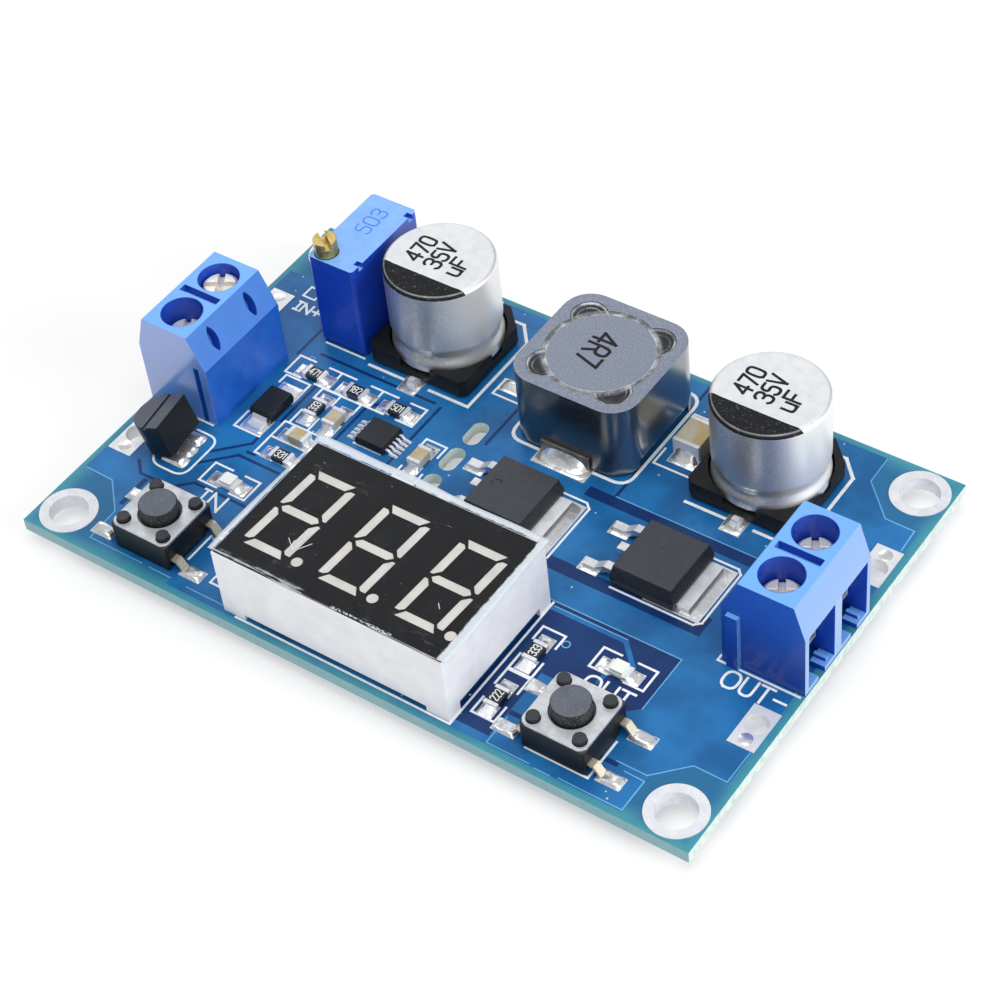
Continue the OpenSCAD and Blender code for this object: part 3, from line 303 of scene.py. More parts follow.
def parted(layers, keep=None, rim=None):
    # flat partition of overlapping outlines by constrained triangles; each triangle goes to the
    # last layer that holds its centroid, keep(centroids) leaves holes open, rim adds their edges
    spots, links, count = [], [], 0
    for outline in [np.asarray(o, float) for layer in layers for o in layer] + (rim or []):
        n = len(outline)
        k = np.arange(n) + count
        spots.append(outline)
        links.append(np.stack([k, np.roll(k, -1)], -1))
        count += n
    out = mathutils.geometry.delaunay_2d_cdt([Vector(v) for v in np.concatenate(spots).tolist()],
                                             np.concatenate(links).tolist(), [], 0, 1e-5, False)
    verts = np.array([v[:] for v in out[0]])
    tri = np.array([f for f in out[2] if len(f) == 3])
    mid = verts[tri].mean(1)
    owner = np.full(len(tri), -1)
    for i, layer in enumerate(layers):
        for outline in layer:
            o = np.asarray(outline, float)
            near = np.flatnonzero(((mid > o.min(0)) & (mid < o.max(0))).all(1))
            owner[near[within(mid[near], o)]] = i
    if keep is not None:
        owner[~keep(mid)] = -1
    return verts, tri, owner


def sheet(verts, tri, low, high):
    # closed plate from flat triangles: top, bottom and a wall along every open edge
    used, tri = np.unique(tri, return_inverse=True)
    flat, tri = verts[used], tri.reshape(-1, 3)
    a, b, c = flat[tri[:, 0]], flat[tri[:, 1]], flat[tri[:, 2]]
    wrong = (b[:, 0] - a[:, 0]) * (c[:, 1] - a[:, 1]) < (b[:, 1] - a[:, 1]) * (c[:, 0] - a[:, 0])
    tri[wrong] = tri[wrong][:, ::-1]
    n = len(flat)
    e = np.concatenate([tri[:, [0, 1]], tri[:, [1, 2]], tri[:, [2, 0]]])
    key = np.sort(e, 1)
    _, where, times = np.unique(key[:, 0] * n + key[:, 1], return_index=True, return_counts=True)
    rim = e[where[times == 1]]
    walls = np.stack([rim[:, 0], rim[:, 0] + n, rim[:, 1] + n, rim[:, 1]], -1)[:, ::-1]
    points = np.concatenate([np.c_[flat, np.full(n, low)], np.c_[flat, np.full(n, high)]])
    return onBoard(points), (tri + n).tolist() + tri[:, ::-1].tolist() + walls.tolist()


def inked(outlines, low, high):
    # strokes joined into one raised print
    verts, tri, owner = parted([outlines])
    return sheet(verts, tri[owner == 0], low, high)


def joined(parts):
    # several (verts, faces) as one mesh, each part's faces counted on from the parts before it
    starts = np.cumsum([0] + [len(verts) for verts, faces in parts])
    return np.concatenate([verts for verts, faces in parts]), \
        np.concatenate([faces + start for (verts, faces), start in zip(parts, starts)])


def meshOf(node):
    # a CAD node's corners in frame metres and its triangles
    mesh = frame["nodes"][node].data
    co = np.zeros(len(mesh.vertices) * 3)
    mesh.vertices.foreach_get("co", co)
    mesh.calc_loop_triangles()
    tri = np.zeros(len(mesh.loop_triangles) * 3, int)
    mesh.loop_triangles.foreach_get("vertices", tri)
    return co.reshape(-1, 3), tri.reshape(-1, 3)


def topOf(node):
    # a node's upward faces at its highest level: triangles in board mm, rims of its openings
    co, tri = meshOf(node)
    co = co * 1e3 + toBoard
    tri = co[tri]
    tri = tri[(np.abs(tri[:, :, 2] - co[:, 2].max()) < 1e-4).all(1)][:, :, :2]
    ends = np.concatenate([tri[:, [0, 1]], tri[:, [1, 2]], tri[:, [2, 0]]])
    code = np.round(ends * 1e4).astype(np.int64)
    code = code[:, :, 0] * 10 ** 7 + code[:, :, 1]
    key = np.sort(code, 1)
    _, where, times = np.unique(key, axis=0, return_index=True, return_counts=True)
    return tri, list(ends[where[times == 1]])


def onTop(tri):
    # test for points over any of the triangles, by the signs of three cross products
    side = np.roll(tri, -1, 1) - tri

    def test(points):
        hit = np.zeros(len(points), bool)
        for block in np.array_split(np.arange(len(points)), max(1, len(points) // 2000)):  # keeps the arrays small
            off = points[block][:, None, None] - tri
            turn = side[..., 0] * off[..., 1] - side[..., 1] * off[..., 0]
            hit[block] = ((turn >= 0).all(2) | (turn <= 0).all(2)).any(1)
        return hit
    return test


# finishes

def maskFinish(name, base, shade):
    # mask on bare woven glass: painted light growing towards the board's rim, faint weave, pale cut edges, painted
    # paler on the x-facing sides, palest inside slots and holes
    f = Finish(name, Coat_Weight=0.08, Coat_Roughness=0.14, Specular_IOR_Level=0.3)
    x, y, _ = f.xyz()
    nx, _, nz = f.facing()
    inset = (halfLong - x.size()).atMost(halfWide - y.size())
    warp, weft = (f.node("ShaderNodeTexWave", {"bands_direction": way}, {0: f.where(), 1: 0.55, 2: 1.0}, out=1)
                  for way in "XY")
    # painted light: the mask paler towards the board's rim
    colour = f.mix((inset + (f.noise(0.3, 3.0) - 0.5) * 2.0).rise(-0.4, 1.8), tint(shade), tint(base))
    # painted light: x-facing cut faces paler than y-facing ones
    cut = f.mix(nx.size().rise(0.3, 0.8), tint("7fabb1"), tint("cfdcd6"))
    cut = f.mix(f.noise(1.6, 3.0).rise(0.4, 0.7) * 0.4, cut, tint("6f9ca5"))
    cut = f.mix(inset.rise(0.5, 1.0) * 0.8, cut, tint("e4f1ea"))
    colour = f.mix(nz.size().rise(0.4, 0.6), cut, colour)
    return f.feed(Base_Color=colour, Roughness=0.36 + (f.noise(4.0, 1.0) - 0.5) * 0.16,
                  Normal=f.bump((warp + weft) * 0.5 + f.noise(0.6, 0.0), 0.06, 5e-6)).mat


def solderFinish(name, rough):
    # bright solder: flowing dimples and a few frosted patches
    f = Finish(name, Metallic=0.86)
    flow = f.noise(1.4, 2.0, 0.4)
    frost = f.noise(2.2, 2.0, 0.5)
    colour = f.mix(frost.rise(0.45, 0.7), tint("fcfdfe"), tint("e2e5e8"))
    return f.feed(Base_Color=colour, Roughness=rough + frost.rise(0.5, 0.75) * 0.15,
                  Normal=f.bump(flow, 0.6, 5e-5)).mat


# bores and mouths of the terminals in frame mm, where the terminal finish paints shade, both ends alike: across is
# half the way from screw to screw
boreShape = dict(out=29.45, middle=0.5, across=2.5, radius=1.86, mouth=2.4)


def terminalFinish(name):
    # glossy blue plastic: painted sheen on tops and slopes, painted shade on the -Y faces darkening downwards and in
    # the bores, slits and wire mouths, painted reflections on the IN terminal's -Y faces and the OUT terminal's +X
    # faces
    f = Finish(name, Coat_Roughness=0.16, Coat_IOR=2.3, Specular_IOR_Level=0.35)
    x, y, z = f.xyz()
    nx, ny, nz = f.facing()
    clouds = f.noise(0.55, 2.0)
    fine = f.noise(3.0, 1.0, 0.5)
    k = boreShape
    off, along = x.size() - k["out"], (y - k["middle"]).size() - k["across"]
    bore = f.radius(off, along) < k["radius"]
    painted_hollow_shade = bore.atLeast((along < k["mouth"]) * (ny.size() > 0.25))
    colour = f.mix(clouds.rise(0.35, 0.7), tint("2263c4"), tint("1d5aba"))
    # painted shade: -Y faces darker, darkest at the bottom
    front_shade = f.mix(z.rise(2.0, 10.0), tint("0c2f8c"), tint("1a50b8"))
    colour = f.mix((0.0 - ny).rise(0.5, 0.95) * 0.85, colour, front_shade)
    # painted sheen: upward faces and slopes paler
    colour = f.mix(nz.rise(0.1, 0.95), colour, tint("70abef"))
    in_front_reflection = (x < 0.0) * (ny < -0.5)
    out_side_reflection = (x > 0.0) * (nx > 0.5)
    colour = f.mix(in_front_reflection * 0.8, colour, tint("6a96e6"))  # painted reflection: the IN terminal's -Y faces paler
    # painted reflection: the OUT terminal's +X faces paler
    colour = f.mix(out_side_reflection * 0.7, colour, tint("66a3e0"))
    # painted shade in the bores, slits and wire mouths
    colour = f.mix(painted_hollow_shade, colour, tint("1546b8"))
    return f.feed(Base_Color=colour, Roughness=0.38 + (fine - 0.5) * 0.1 + (clouds - 0.5) * 0.12,
                  Coat_Weight=(0.06 + (in_front_reflection + out_side_reflection) * 0.9) * (1.0 - painted_hollow_shade * 0.9),
                  Normal=f.bump(fine, 0.2, 5e-6)).mat


# black segment on a can, in mm: its chord from the axis, its depth below the lid, the ring where it wears
canInk = dict(chord=-2.35, depth=0.42, wornFrom=4.7, wornTo=4.82)


def canFinish(name, x0, y0, lidLevel):
    # drawn can: satin wall with fine grain, bright top, painted light on the wall's +X side, black segment worn thin
    # at the rim
    f = Finish(name, Specular_IOR_Level=0.3)
    x, y, z = f.xyz()
    nx, _, nz = f.facing()
    dx, dy = x - x0, y - y0
    top = nz.rise(0.75, 0.95)
    radius = f.radius(dx, dy)
    specks = f.noise(5.5, 3.0, 0.6).rise(0.6, 0.7)
    worn = (radius - canInk["wornFrom"]).rise(0.0, 0.08) * (1.0 - (radius - canInk["wornTo"]).rise(0.0, 0.06))
    ink = (dy < canInk["chord"]) * (z > lidLevel - canInk["depth"]) * (1.0 - worn * f.noise(0.8) * 0.7)
    lines = f.noise(4.0, 2.0, 0.5)
    side = nx.rise(0.35, 0.9) * (1.0 - top)  # painted light: the wall's +X side paler and less metallic
    wall = f.mix(lines.rise(0.3, 0.7), tint("d6d6d5"), tint("c4c4c4"))
    wall = f.mix(side * 0.8, wall, tint("f0f0f0"))
    lid = f.mix(f.noise(1.1, 4.0).rise(0.35, 0.7), tint("e3e5e8"), tint("d8dbe0"))
    colour = f.mix(top, wall, lid)
    paint = f.mix(specks, tint("0d0f14"), tint("5d6169"))
    colour = f.mix(ink, colour, paint)
    return f.feed(Base_Color=colour, Metallic=(1.0 - ink) * (0.82 - top * 0.42 - side * 0.36),
                  Roughness=0.36 + (lines - 0.5) * 0.1 + ink * 0.22 + top * 0.14,
                  Normal=f.bump(lines, 0.12, 4e-6)).mat


def tabFinish(name):
    # tinned power leads: pale top, darker cut ends, lines drawn along the strip
    f = Finish(name)
    nx, _, nz = f.facing()
    top, end = nz.rise(0.6, 0.95), nx.rise(0.5, 0.95)
    lines = f.noise(6.0, 4.0, 0.65, f.stretch(1, 3, 1))
    clouds = f.noise(0.9, 3.0)
    tin = f.mix((clouds * 0.6 + lines * 0.4).rise(0.35, 0.65), tint("f4f5f6"), tint("d2d5d9"))
    return f.feed(Base_Color=f.mix(end, tin, tint("858c96")), Metallic=0.9 - top * 0.68,
                  Roughness=0.3 + (lines - 0.5) * 0.25 + (clouds - 0.5) * 0.15,
                  Normal=f.bump(lines, 0.4, 4e-6)).mat


def ferriteFinish(name):
    # pressed ferrite: grey speckled top, dark coated sides, painted sheen on the +X side
    f = Finish(name, Coat_Roughness=0.2, Coat_IOR=2.5)
    nx, _, nz = f.facing()
    top = nz.rise(0.35, 0.7) * (f.xyz()[2] > 4.0)
    specks = f.noise(7.0, 3.0, 0.7)
    chalk = f.mix(specks.rise(0.35, 0.7), tint("6c7384"), tint("8b93a5"))
    dark = f.mix(f.noise(1.2, 3.0).rise(0.4, 0.7), tint("0e1118"), tint("1a1f29"))
    side = nx.rise(0.3, 0.9)
    # painted sheen: the coated +X side paler and bluer
    dark = f.mix(side * 0.8, dark, tint("34435a"))
    return f.feed(Base_Color=f.mix(top, dark, chalk), Roughness=0.3 + top * 0.34 + (specks - 0.5) * 0.1,
                  Coat_Weight=(1.0 - top * 0.9) * (0.5 + side * 0.5), Normal=f.bump(specks, 0.5, 1.5e-5)).mat


# one finish a material slot, and one a node where it differs from the rest of its slot; every top tone is a painted
# sheen on upward faces
finishes = {
    "board": maskFinish("board_mask", "206592", "42909f"),
    "tin": plated("tin_plate", "f5f6f8", "e2e5e9", 0.4, metal=0.62),
    "solder": solderFinish("bright_solder", 0.2),
    "terminal_blue": terminalFinish("terminal_plastic"),
    "contact_metal": plated("contact_brass", "cbb67f", "b29a5c", 0.35),
    "clamp_steel": plated("clamp_nickel", "e4e5e8", "8d9096", 0.3, depth=1.2e-5, metal=0.6),
    "screw_zinc": plated("screw_zinc_plate", "fdfbf3", "ece8dc", 0.34, (1, 3, 1), metal=0.5),
    "trimmer_blue": moulded("trimmer_plastic", "1243bd", "103cb0", 0.34, 3.0, 5e-6, coat=0.25, top="82b8f8"),
    "brass": plated("turned_brass", "dcc582", "a88a46", 0.28, (1, 1, 6), metal=0.95),
    "black_plastic": moulded("black_moulding", "08090b", "0e0f12", 0.5, 4.0, 8e-6, top="131418", level=0.3),
    "ferrite": ferriteFinish("pressed_ferrite"),
    "enamelled_wire": plated("enamel_wire", "a2521f", "7c3a12", 0.3, (1, 1, 8), metal=0.6),
    "clip_metal": plated("clip_tin", "a5a098", "7d7870", 0.36),
    "chip_ceramic": moulded("fired_ceramic", "b39f72", "b5b2a4", 0.4, 5.0, 5e-6),
    "resistor_glaze": moulded("black_glaze", "1d1e22", "2a2c31", 0.28, 6.0, 4e-6),
    "light_lens": moulded("milky_lens", "f6f8f4", "e4efe2", 0.22, 3.0, 4e-6, coat=0.3),
    "epoxy": moulded("moulded_epoxy", "141519", "1b1d21", 0.5, 7.0, 2e-5, specks="5c6270", top="363a42"),
    "display_white": moulded("white_moulding", "ecedf1", "e4e5ea", 0.42, 3.0, 5e-6),
    "display_black": moulded("printed_face", "08080b", "0d0e12", 0.36, 3.0, 4e-6, specks="24262c", level=0.2),
    "display_milk": moulded("diffusing_resin", "ccc9c5", "c1beba", 0.4, 4.0, 4e-6),
    "card": moulded("inner_card", "d6d0bb", "c8c1a9", 0.6),
    "clear_film": moulded("clear_film_plain", "dfe6ec", "d0d8de", 0.2),
    "switch_lead_metal": plated("silvered_brass", "e9e1cb", "d5cab0", 0.3, depth=1e-6, metal=0.7),
    "switch_steel": plated("brushed_cover", "e6e8ec", "c3c7cc", 0.42, (0.15, 4, 1), 5e-6, 0.8),
    "button_plastic": moulded("button_moulding", "121317", "1a1b20", 0.55, 8.0, 2e-5, specks="a0a5b0", top="5b606b",
                              sheen_lean=(0.6, 0.95)),
    "dome_steel": plated("sprung_steel", "c9ccd0", "aeb2b7", 0.2),
    "regulator_body": moulded("regulator_epoxy", "07080a", "0c0d10", 0.34, 2.5, 1.2e-5, top="525864", sheen_lean=(0.6, 0.9)),
    "controller_body": moulded("controller_epoxy", "0d0e11", "141519", 0.5, 7.0, 8e-6, top="272a30", level=0.4),
    "input_diode_body": moulded("diode_epoxy", "0a0b0e", "101115", 0.45, 6.0, 8e-6, top="1a1c21", level=0.35),
    "mounting_hole_rings": plated("ring_tin", "eaecf0", "d6d9e0", 0.42, metal=0.4),
}
finishes["power_switch_leads"] = finishes["rectifier_leads"] = tabFinish("power_lead_tin")
# the switch bases' top tone is a painted sheen on their upward faces and pegs
for node in ("left_switch_base", "right_switch_base"):
    finishes[node] = moulded(node + "_finish", "0a0b0d", "0f1012", 0.45, 5.0, 8e-6, top="373a41", level=0.35,
                             sheen_lean=(0.5, 0.95))
cans = ("input_capacitor_can", "output_capacitor_can")
for node in cans:
    cx, cy, _, high = middle(node)
    finishes[node] = canFinish(node + "_finish", cx - halfLong, cy - halfWide, high + boardSize["thick"])
blackInk = moulded("black_ink", "08090b", "0e0f12", 0.5, 5.0, 4e-6, level=0.3)


def finishOf(node):
    # a node's own finish, or else its slot's
    return finishes.get(node) or finishes[slotOf[node]]


for node, obj in frame["nodes"].items():
    if not obj.material_slots:
        obj.data.materials.append(None)
    for place in obj.material_slots:
        place.link = "OBJECT"
        place.material = finishOf(node)
print("finishes made:", len(finishes))

# rounded copies of the moulded and pressed parts: node -> edge in mm
edges = {
    "in_terminal_housing": 0.12, "out_terminal_housing": 0.12, "trimmer_housing": 0.1,
    "input_capacitor_base": 0.12, "output_capacitor_base": 0.12, "inductor_shield": 0.3,
    "power_switch_body": 0.1, "rectifier_body": 0.1, "controller_body": 0.05, "input_diode_body": 0.08,
    "regulator_body": 0.1, "display_housing": 0.08, "left_switch_base": 0.1, "right_switch_base": 0.1,
    "chip_capacitors": 0.05, "chip_resistors": 0.03, "chip_end_caps": 0.05, "inductor_terminals": 0.06,
    "in_front_screw": 0.06, "in_back_screw": 0.06, "out_front_screw": 0.06, "out_back_screw": 0.06,
    "trimmer_screw": 0.06, "left_button": 0.12, "right_button": 0.12,
    "left_switch_cover": 0.06, "right_switch_cover": 0.06,
}
for node, edge in edges.items():
    softened(node, finishOf(node), edge)
print("rounded copies:", len(edges))

# snap domes as copies of the CAD domes on their own meshes; the centre and the share of the height kept, 1 - travel /
# height, are worked out but not used
travel = {j["name"]: j["range_m"][1] for j in record["behaviour"]["joints"] if j["type"] == "slide"}
for side in ("left", "right"):
    node, joint = side + "_dome", side + "_button_press"
    low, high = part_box(node)
    mesh = frame["nodes"][node].data
    dome = addPiece(node + "_sprung", [v.co[:] for v in mesh.vertices], [p.vertices[:] for p in mesh.polygons],
                    finishes["dome_steel"], bodyOf[node], None, 30, (node,))
    (low[0] + high[0]) / 2
    (low[1] + high[1]) / 2
    1 - travel[joint] / (high[2] - low[2])
    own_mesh(dome)


def islands(node):
    # loose parts of a CAD node as boxes in board mm: (count, low or high, xyz)
    co, tri = meshOf(node)
    spots, same = np.unique(np.round(co * 1e6), axis=0, return_inverse=True)
    tri = same.ravel()[tri]
    label = np.arange(len(spots))
    while True:
        least = label.copy()
        np.minimum.at(least, tri.ravel(), np.repeat(label[tri].min(1), 3))
        if (least == label).all():
            break
        label = least
    kinds, group = np.unique(label, return_inverse=True)
    mm = spots * 1e-3 + toBoard
    low, high = np.full((len(kinds), 3), 1e9), np.full((len(kinds), 3), -1e9)
    np.minimum.at(low, group, mm)
    np.maximum.at(high, group, mm)
    return np.stack([low, high], 1)


# copper under the mask, in board mm from the front left corner
pourArt = dict(
    outline=[(0.5, 7.5), (3.6, 7.4), (6.2, 4.75), (6.35, 1.3), (15.2, 1.27), (15.3, 0.62), (59.75, 0.62),
             (59.75, 4.2), (62.1, 7.0), (65.2, 7.0), (65.2, 36.3), (62.15, 36.4), (59.1, 39.5),
             (59.05, 42.45), (6.9, 42.45), (6.9, 39.5), (3.85, 36.4), (0.5, 36.3)],
    gaps=[[(40.0, 18.0), (55.75, 18.0), (55.75, 20.1), (54.5, 20.1), (54.5, 19.3), (40.0, 19.3)],
          [(43.4, 1.35), (47.15, 1.35), (47.15, 8.6), (54.7, 8.6), (55.85, 9.6), (55.85, 15.3), (43.4, 15.3)],
          [(39.4, 26.3), (55.4, 26.3), (55.4, 27.4), (39.4, 27.4)],
          [(47.2, 3.9), (57.2, 3.9), (57.2, 4.35), (47.2, 4.35)],
          [(5.85, 5.6), (6.35, 5.6), (6.35, 9.0), (5.85, 9.0)]],
    gapLines=[[(41.85, 27.4), (41.85, 42.4)], [(28.95, 27.0), (28.95, 42.4)],
              [(4.1, 10.4), (5.2, 9.3), (7.2, 9.3)],
              [(8.75, 14.3), (11.4, 16.95), (11.4, 18.6)], [(8.75, 12.75), (11.25, 15.25), (15.6, 15.25)],
              [(8.9, 9.7), (10.0, 10.75), (15.7, 10.75)], [(11.7, 15.95), (12.4, 15.95)],
              [(11.9, 20.4), (11.9, 25.3)], [(17.35, 19.6), (17.35, 25.6), (18.4, 26.6)],
              [(7.9, 27.9), (7.9, 33.0), (6.6, 34.3)], [(55.8, 27.4), (55.8, 30.5)],
              [(9.9, 28.85), (22.2, 28.85)], [(23.0, 19.4), (23.0, 28.6)]],
    traces=[[(44.1, 14.65), (51.1, 14.65), (53.0, 12.75)], [(51.5, 10.1), (51.5, 11.2)]],
    islets=[[(47.35, 4.9), (48.6, 4.9), (48.6, 8.3), (47.35, 8.3)]],
    # glints: painted highlights along the copper steps
    glints=[[(56.9, 4.42), (59.6, 4.42), (62.1, 7.0), (65.05, 7.0), (65.1, 10.2)],
            [(47.35, 3.6), (47.35, 0.75), (51.3, 0.75)], [(51.9, 0.6), (53.3, 0.6)],
            [(54.0, 0.75), (59.7, 0.75), (59.72, 3.85), (57.9, 3.88)],
            [(40.8, 15.33), (55.85, 15.33), (55.85, 9.6)],
            [(0.6, 7.5), (3.6, 7.4), (6.2, 4.75), (6.35, 1.35), (12.05, 1.35)], [(12.9, 1.32), (15.2, 1.3)],
            [(59.05, 42.4), (59.1, 39.5), (62.15, 36.4), (64.85, 36.35), (64.95, 34.0)],
            [(41.9, 27.43), (55.4, 27.43)], [(44.2, 14.88), (51.1, 14.88)], [(17.0, 1.2), (20.9, 1.2)]])


def upright(x0, x1, mouth, end):
    # three sides of a box round a chip: open at y = mouth, closed at y = end
    return [(x0, mouth), (x0, end), (x1, end), (x1, mouth)]


def sideways(mouth, end, y0, y1):
    # the same, open at x = mouth and closed at x = end
    return [(mouth, y0), (end, y0), (end, y1), (mouth, y1)]


# white print, in board mm
inkArt = dict(
    fine=[upright(8.6, 11.4, 19.9, 17.9), [(8.7, 24.2), (8.7, 25.2), (11.35, 25.2), (11.35, 23.6)],
          [(12.2, 18.5), (12.2, 20.55), (17.4, 20.55)], sideways(17.4, 12.2, 18.5, 16.25),
          upright(12.6, 16.8, 24.1, 25.45), [(14.6, 25.45), (14.6, 24.1)], [(12.6, 22.4), (12.6, 20.6)],
          [(16.8, 22.4), (16.8, 20.6)], [(14.6, 22.2), (14.6, 20.6)], sideways(10.0, 8.3, 27.8, 25.5),
          [(12.95, 27.8), (12.95, 25.5)], [(17.5, 27.8), (17.5, 25.5)], [(11.6, 27.8), (14.5, 27.8)],
          [(11.6, 25.5), (14.5, 25.5)], [(16.2, 27.8), (19.1, 27.8)], [(16.2, 25.5), (19.1, 25.5)],
          sideways(20.5, 22.2, 27.8, 25.5), [(3.2, 16.95), (7.0, 16.95)], sideways(12.0, 10.1, 11.25, 13.55),
          sideways(13.4, 15.0, 11.25, 13.55), [(15.2, 3.7), (15.2, 6.65)], [(18.4, 3.3), (18.4, 2.6), (19.4, 2.6)],
          [(43.9, 0.75), (43.9, 15.1)], [(22.6, 0.75), (43.9, 0.75)], upright(44.6, 46.75, 11.2, 12.65),
          upright(44.6, 46.75, 9.4, 7.75), upright(44.6, 46.75, 5.9, 7.6), upright(44.6, 46.75, 4.3, 2.65),
          sideways(51.6, 49.95, 11.1, 13.3), sideways(53.2, 54.95, 11.1, 13.3),
          [(58.25, 17.3), (58.25, 16.75), (65.6, 16.75)], [(55.9, 2.0), (55.9, 5.9)], [(50.2, 1.9), (55.9, 1.9)],
          [(37.5, 25.6), (40.2, 25.6), (40.75, 25.1), (40.75, 18.9)],
          [(52.4, 25.65), (54.8, 25.65), (55.25, 25.2), (55.25, 19.3), (54.7, 18.8), (46.9, 18.8)],
          [(9.3, 30.3), (13.5, 30.3)], upright(42.45, 46.0, 34.2, 32.3), upright(42.45, 46.0, 37.0, 38.9),
          upright(25.9, 28.7, 34.4, 32.4), upright(25.9, 28.7, 36.8, 38.8), [(19.0, 21.45), (21.8, 21.45)],
          upright(24.2, 26.35, 23.6, 24.95), upright(24.2, 26.35, 21.3, 20.0),
          [(3.6, 34.2), (4.9, 34.2), (4.9, 35.5), (3.6, 35.5), (3.6, 34.2)], [(0.4, 16.7), (3.0, 16.7)]],
    broad=[[(14.4, 29.9), (18.6, 29.9)], [(20.9, 29.9), (25.0, 29.9), (25.0, 39.0), (23.4, 40.9), (22.0, 40.9)],
           [(47.15, 29.85), (51.2, 29.85)],
           [(53.7, 29.85), (57.7, 29.85), (57.7, 39.0), (56.1, 40.75), (55.0, 40.75)]],
    coil=[[(33.6, 28.75), (30.0, 28.75), (30.0, 40.9), (33.4, 40.9)],
          [(38.7, 28.75), (42.0, 28.75), (42.0, 40.9), (38.6, 40.9)]],
    lobe=[[(6.2, 15.85), (8.65, 15.85), (8.65, 10.75), (4.95, 10.75), (4.6, 12.6)]],
    words=[("OUT-", (62.3, 15.55), 1.65, 5.5), ("OUT", (52.6, 9.6), 1.75, 4.2), ("IN", (12.55, 9.85), 1.7, 2.4),
           ("IN+", (5.2, 32.9), 1.1, 2.7)])  # text, centre, tall, wide
vias = [(47.2, 12.0, 0.33), (9.4, 27.95, 0.26), (30.4, 16.6, 0.3), (17.2, 14.2, 0.28), (3.0, 18.0, 0.3)]  # x, y, r
lineWidth = dict(gap=0.3, trace=0.42, glint=0.1, via=0.09, fine=0.2, broad=0.3, words=0.22)
bend = dict(coil=1.5, lobe=1.2)  # reach of the rounded corners
# letters as strokes in a box one high: (width, lines)
glyphs = {
    "0": (0.56, [[(0.13, 0), (0, 0.17), (0, 0.83), (0.13, 1), (0.43, 1), (0.56, 0.83), (0.56, 0.17), (0.43, 0),
                  (0.13, 0)]]),
    "1": (0.3, [[(0, 0.78), (0.22, 1), (0.22, 0)]]),
    "2": (0.54, [[(0, 0.82), (0.12, 1), (0.42, 1), (0.54, 0.84), (0.54, 0.62), (0, 0), (0.54, 0)]]),
    "3": (0.54, [[(0, 0.86), (0.12, 1), (0.42, 1), (0.54, 0.86), (0.54, 0.66), (0.4, 0.53), (0.2, 0.53)],
                 [(0.4, 0.53), (0.54, 0.4), (0.54, 0.15), (0.42, 0), (0.12, 0), (0, 0.14)]]),
    "4": (0.58, [[(0.44, 0), (0.44, 1), (0, 0.3), (0.58, 0.3)]]),
    "5": (0.54, [[(0.5, 1), (0.05, 1), (0.02, 0.56), (0.4, 0.6), (0.54, 0.45), (0.54, 0.15), (0.42, 0), (0.12, 0),
                  (0, 0.14)]]),
    "7": (0.54, [[(0, 1), (0.54, 1), (0.2, 0)]]),
    "8": (0.54, [[(0.12, 0.53), (0, 0.66), (0, 0.87), (0.12, 1), (0.42, 1), (0.54, 0.87), (0.54, 0.66), (0.42, 0.53),
                  (0.12, 0.53), (0, 0.4), (0, 0.14), (0.12, 0), (0.42, 0), (0.54, 0.14), (0.54, 0.4),
                  (0.42, 0.53)]]),
    "I": (0.3, [[(0, 1), (0.3, 1)], [(0.15, 1), (0.15, 0)], [(0, 0), (0.3, 0)]]),
    "N": (0.62, [[(0, 0), (0, 1), (0.62, 0), (0.62, 1)]]),
    "O": (0.78, [[(0.24, 0), (0.07, 0.13), (0, 0.34), (0, 0.66), (0.07, 0.87), (0.24, 1), (0.54, 1), (0.71, 0.87),
                  (0.78, 0.66), (0.78, 0.34), (0.71, 0.13), (0.54, 0), (0.24, 0)]]),
    "U": (0.62, [[(0, 1), (0, 0.24), (0.07, 0.08), (0.2, 0), (0.42, 0), (0.55, 0.08), (0.62, 0.24), (0.62, 1)]]),
    "T": (0.66, [[(0, 1), (0.66, 1)], [(0.33, 1), (0.33, 0)]]),
    "R": (0.56, [[(0, 0), (0, 1), (0.42, 1), (0.56, 0.87), (0.56, 0.6), (0.42, 0.47), (0, 0.47)],
                 [(0.3, 0.47), (0.56, 0)]]),
    "V": (0.6, [[(0, 1), (0.3, 0), (0.6, 1)]]),
    "F": (0.5, [[(0, 0), (0, 1), (0.5, 1)], [(0, 0.52), (0.4, 0.52)]]),
    "u": (0.46, [[(0, 0.66), (0, 0.12), (0.1, 0), (0.34, 0), (0.46, 0.12)], [(0.46, 0.66), (0.46, 0)]]),
    "-": (0.6, [[(0, 0.5), (0.6, 0.5)]]),
    "+": (0.6, [[(0, 0.5), (0.6, 0.5)], [(0.3, 0.2), (0.3, 0.8)]]),
}


def eased(line):
    # two rounds of corner cutting: points at 1/4 and 3/4 of each run, ends kept
    p = np.asarray(line, float)
    for _ in range(2 if len(p) > 4 else 0):
        q = np.stack([0.75 * p[:-1] + 0.25 * p[1:], 0.25 * p[:-1] + 0.75 * p[1:]], 1).reshape(-1, 2)
        p = np.concatenate([p[:1], q[1:-1], p[-1:]])
    return p


def rounded(line, reach, n=8):
    # each inner corner p becomes an arc between a and b at reach from it: (1-t)^2 a + 2t(1-t) p + t^2 b
    p = np.asarray(line, float)
    way = (p[1:] - p[:-1]) / np.linalg.norm(p[1:] - p[:-1], axis=1)[:, None]
    mid, t = p[1:-1, None], np.linspace(0, 1, n)[None, :, None]
    a, b = mid - way[:-1, None] * reach, mid + way[1:, None] * reach
    arcs = (1 - t) ** 2 * a + 2 * t * (1 - t) * mid + t ** 2 * b
    return np.concatenate([p[:1], arcs.reshape(-1, 2), p[-1:]])


